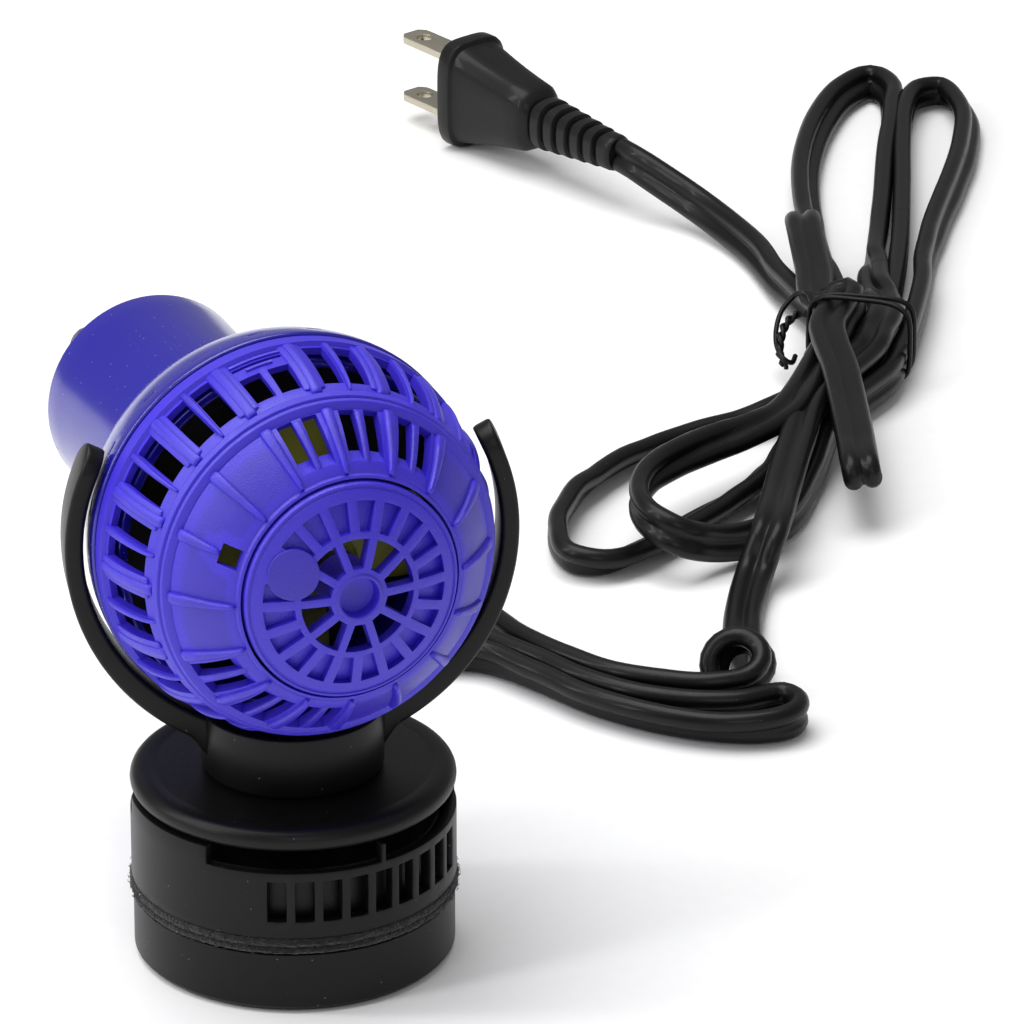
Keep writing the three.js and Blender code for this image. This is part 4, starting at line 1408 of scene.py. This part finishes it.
def plug_blade(height):
    """A flat blade with chamfered tip corners and a round eye."""
    low, long, half, thick = 43.9, 66.0, 3.175, 0.75
    outline = [(low, -half), (long - 1.6, -half), (long, -half + 1.1), (long, half - 1.1),
               (long - 1.6, half), (low, half)]
    eye = Vector((61.5, 0))
    bm = bmesh.new()
    sides = 32
    levels = []
    for z in (-thick, thick):
        outer, hole = [], []
        for k in range(sides):
            a = 2 * math.pi * k / sides
            aim = Vector((math.cos(a), math.sin(a)))
            reach = 99.0
            for p, q in zip(outline, outline[1:] + outline[:1]):
                p, q = Vector(p), Vector(q)
                across = q - p
                bottom = aim.x * across.y - aim.y * across.x
                if abs(bottom) < 1e-9:
                    continue
                gap = p - eye
                t = (gap.x * across.y - gap.y * across.x) / bottom
                u = (gap.x * aim.y - gap.y * aim.x) / bottom
                if t > 0 and -1e-6 <= u <= 1 + 1e-6:
                    reach = min(reach, t)
            outer.append(bm.verts.new((*(eye + aim * reach), z)))
            hole.append(bm.verts.new((*(eye + aim * 1.6), z)))
        levels.append((outer, hole))
    for k in range(sides):
        n = (k + 1) % sides
        (low_out, low_in), (high_out, high_in) = levels
        bm.faces.new([low_out[n], low_out[k], low_in[k], low_in[n]])
        bm.faces.new([high_out[k], high_out[n], high_in[n], high_in[k]])
        bm.faces.new([low_out[k], low_out[n], high_out[n], high_out[k]])
        bm.faces.new([low_in[n], low_in[k], high_in[k], high_in[n]])
    bmesh.ops.recalc_face_normals(bm, faces=bm.faces)
    return placed(bm, Matrix.Translation((0, 0, height)))


class PUMP_OT_plug(bpy.types.Operator):
    """Two-blade plug on the end of the cord"""

    bl_idname = "pump.plug"
    bl_label = "Plug"

    def execute(self, context):
        piece("plug", plug_body(), "yoke", finish("plug"), place=PLUG,
              replaces=["plug_body"], sharp=40)
        blades = merged(plug_blade(-6.35), plug_blade(6.35))
        piece("plug_blade_pair", blades, "yoke", finish("blade"), place=PLUG,
              replaces=["plug_blade_lower", "plug_blade_upper"], modifiers=[edge(0.14)])
        return {"FINISHED"}


# ------------------------------------------------------------------ stage
class PUMP_OT_stage(bpy.types.Operator):
    """Pale floor, soft studio lights and the camera"""

    bl_idname = "pump.stage"
    bl_label = "Stage"

    def execute(self, context):
        view = context.scene.pump_stage
        mesh = bpy.data.meshes.new("floor")
        reach, level = 6.0, -0.0003
        mesh.from_pydata(
            [(x, y, level) for x, y in (
                (-reach, -reach), (reach, -reach), (reach, reach), (-reach, reach)
            )], [], [(0, 1, 2, 3)],
        )
        floor = bpy.data.objects.new("floor", mesh)
        floor.data.materials.append(pale_floor())
        context.scene.collection.objects.link(floor)
        world = bpy.data.worlds.new("studio")
        context.scene.world = world
        world.use_nodes = True
        sky = world.node_tree.nodes["Background"]
        sky.inputs[0].default_value = (1, 1, 1, 1)
        sky.inputs[1].default_value = view.surround
        ball = BALL * MM
        lamps = (
            ("top", (-0.15, 0.25, 1.35), (1.2, 1.0), view.top_power),
            ("left_strip", (-0.95, -0.10, 0.62), (0.16, 0.9), view.strip_power),
            ("left_strip_rear", (-0.90, 0.36, 0.66), (0.14, 0.8), view.strip_power),
            ("front", (-0.35, -1.35, 0.75), (0.7, 0.7), view.front_power),
        )
        for name, place, size, power in lamps:
            lamp = bpy.data.lights.new(name, "AREA")
            lamp.shape = "RECTANGLE"
            lamp.size, lamp.size_y = size
            lamp.energy = power
            made = bpy.data.objects.new(name, lamp)
            made.location = place
            made.rotation_euler = (ball - Vector(place)).to_track_quat("-Z", "Y").to_euler()
            context.scene.collection.objects.link(made)
        context.scene.view_settings.view_transform = "Standard"
        a, e = view.azimuth, view.elevation
        back = Vector((math.sin(a) * math.cos(e), -math.cos(a) * math.cos(e), math.sin(e)))
        data = bpy.data.cameras.new("camera")
        data.sensor_width, data.lens = 36.0, view.lens
        data.clip_start, data.clip_end = 0.05, 50
        camera = bpy.data.objects.new("camera", data)
        camera.location = Vector((0, 0, 0.05)) + back * view.distance
        aim = Vector(view.aim) - camera.location
        camera.rotation_euler = aim.to_track_quat("-Z", "Y").to_euler()
        context.scene.collection.objects.link(camera)
        context.scene.camera = camera
        return {"FINISHED"}


# ------------------------------------------------------------------ settings and panel
def colour_setting(name, description, default):
    return bpy.props.FloatVectorProperty(
        name=name, description=description, default=default, subtype="COLOR", size=4, min=0, max=1
    )


class PumpColours(bpy.types.PropertyGroup):
    """Base colours of the pump's finishes"""

    gloss_blue: colour_setting("Gloss blue", "Rear housing", (0.010, 0.006, 0.27, 1))
    satin_blue: colour_setting("Satin blue", "Front cage and grille", (0.028, 0.014, 0.42, 1))
    black: colour_setting("Black", "Moulded black plastic", (0.0034, 0.0032, 0.0031, 1))
    felt: colour_setting("Felt", "Pads between the magnets", (0.007, 0.0065, 0.0065, 1))
    olive: colour_setting("Olive", "Impeller", (0.17, 0.17, 0.006, 1))
    vinyl: colour_setting("Vinyl", "Cord", (0.0036, 0.0034, 0.0033, 1))
    blade: colour_setting("Blade metal", "Plug blades", (0.56, 0.52, 0.42, 1))


class PumpSizes(bpy.types.PropertyGroup):
    """Sizes of the cord"""

    cord_width: bpy.props.FloatProperty(
        name="Cord width", description="Across both cores", default=7.2 * MM, unit="LENGTH"
    )
    cord_thickness: bpy.props.FloatProperty(
        name="Cord thickness", description="Across one core", default=3.7 * MM, unit="LENGTH"
    )


class PumpStage(bpy.types.PropertyGroup):
    """Camera and lights"""

    azimuth: bpy.props.FloatProperty(
        name="Azimuth", description="Camera turn about the pump", default=math.radians(-21),
        subtype="ANGLE",
    )
    elevation: bpy.props.FloatProperty(
        name="Elevation", description="Camera height angle", default=math.radians(25.3),
        subtype="ANGLE",
    )
    distance: bpy.props.FloatProperty(
        name="Distance", description="Camera distance", default=1.421, unit="LENGTH"
    )
    aim: bpy.props.FloatVectorProperty(
        name="Aim", description="Point in the middle of the view", subtype="XYZ",
        default=(0.0382, -0.0030, 0.0731),
    )
    lens: bpy.props.FloatProperty(
        name="Lens", description="Focal length in millimetres", default=301.7
    )
    surround: bpy.props.FloatProperty(
        name="Surround", description="Strength of the white surround", default=0.32
    )
    top_power: bpy.props.FloatProperty(
        name="Top light", description="Power of the overhead softbox", default=17, subtype="POWER"
    )
    strip_power: bpy.props.FloatProperty(
        name="Strip lights", description="Power of each side strip", default=3.5, subtype="POWER"
    )
    front_power: bpy.props.FloatProperty(
        name="Front light", description="Power of the front fill", default=2.5, subtype="POWER"
    )


BUILDERS = (
    PUMP_OT_stage, PUMP_OT_tie, PUMP_OT_plug, PUMP_OT_cord, PUMP_OT_dry_magnet,
    PUMP_OT_wet_holder, PUMP_OT_yoke, PUMP_OT_rear_housing, PUMP_OT_front_cage,
    PUMP_OT_outlet_grille, PUMP_OT_impeller, PUMP_OT_works,
)


class PUMP_PT_panel(bpy.types.Panel):
    """Lists the pump's pieces and settings"""

    bl_label = "Wave maker pump"
    bl_idname = "PUMP_PT_panel"
    bl_space_type = "VIEW_3D"
    bl_region_type = "UI"
    bl_category = "Pump"

    def draw(self, context):
        for group in (
            context.scene.pump_sizes, context.scene.pump_colours, context.scene.pump_stage
        ):
            box = self.layout.box()
            for key in group.__annotations__:
                box.prop(group, key)
        for builder in BUILDERS:
            self.layout.operator(builder.bl_idname)


CLASSES = (PumpColours, PumpSizes, PumpStage, *BUILDERS, PUMP_PT_panel)


def register():
    for cls in CLASSES:
        bpy.utils.register_class(cls)
    bpy.types.Scene.pump_colours = bpy.props.PointerProperty(type=PumpColours)
    bpy.types.Scene.pump_sizes = bpy.props.PointerProperty(type=PumpSizes)
    bpy.types.Scene.pump_stage = bpy.props.PointerProperty(type=PumpStage)


def unregister():
    del bpy.types.Scene.pump_stage, bpy.types.Scene.pump_sizes, bpy.types.Scene.pump_colours
    for cls in reversed(CLASSES):
        bpy.utils.unregister_class(cls)


def main():
    register()
    for builder in BUILDERS:
        group, action = builder.bl_idname.split(".")
        getattr(getattr(bpy.ops, group), action)()


if __name__ == "__main__":
    main()
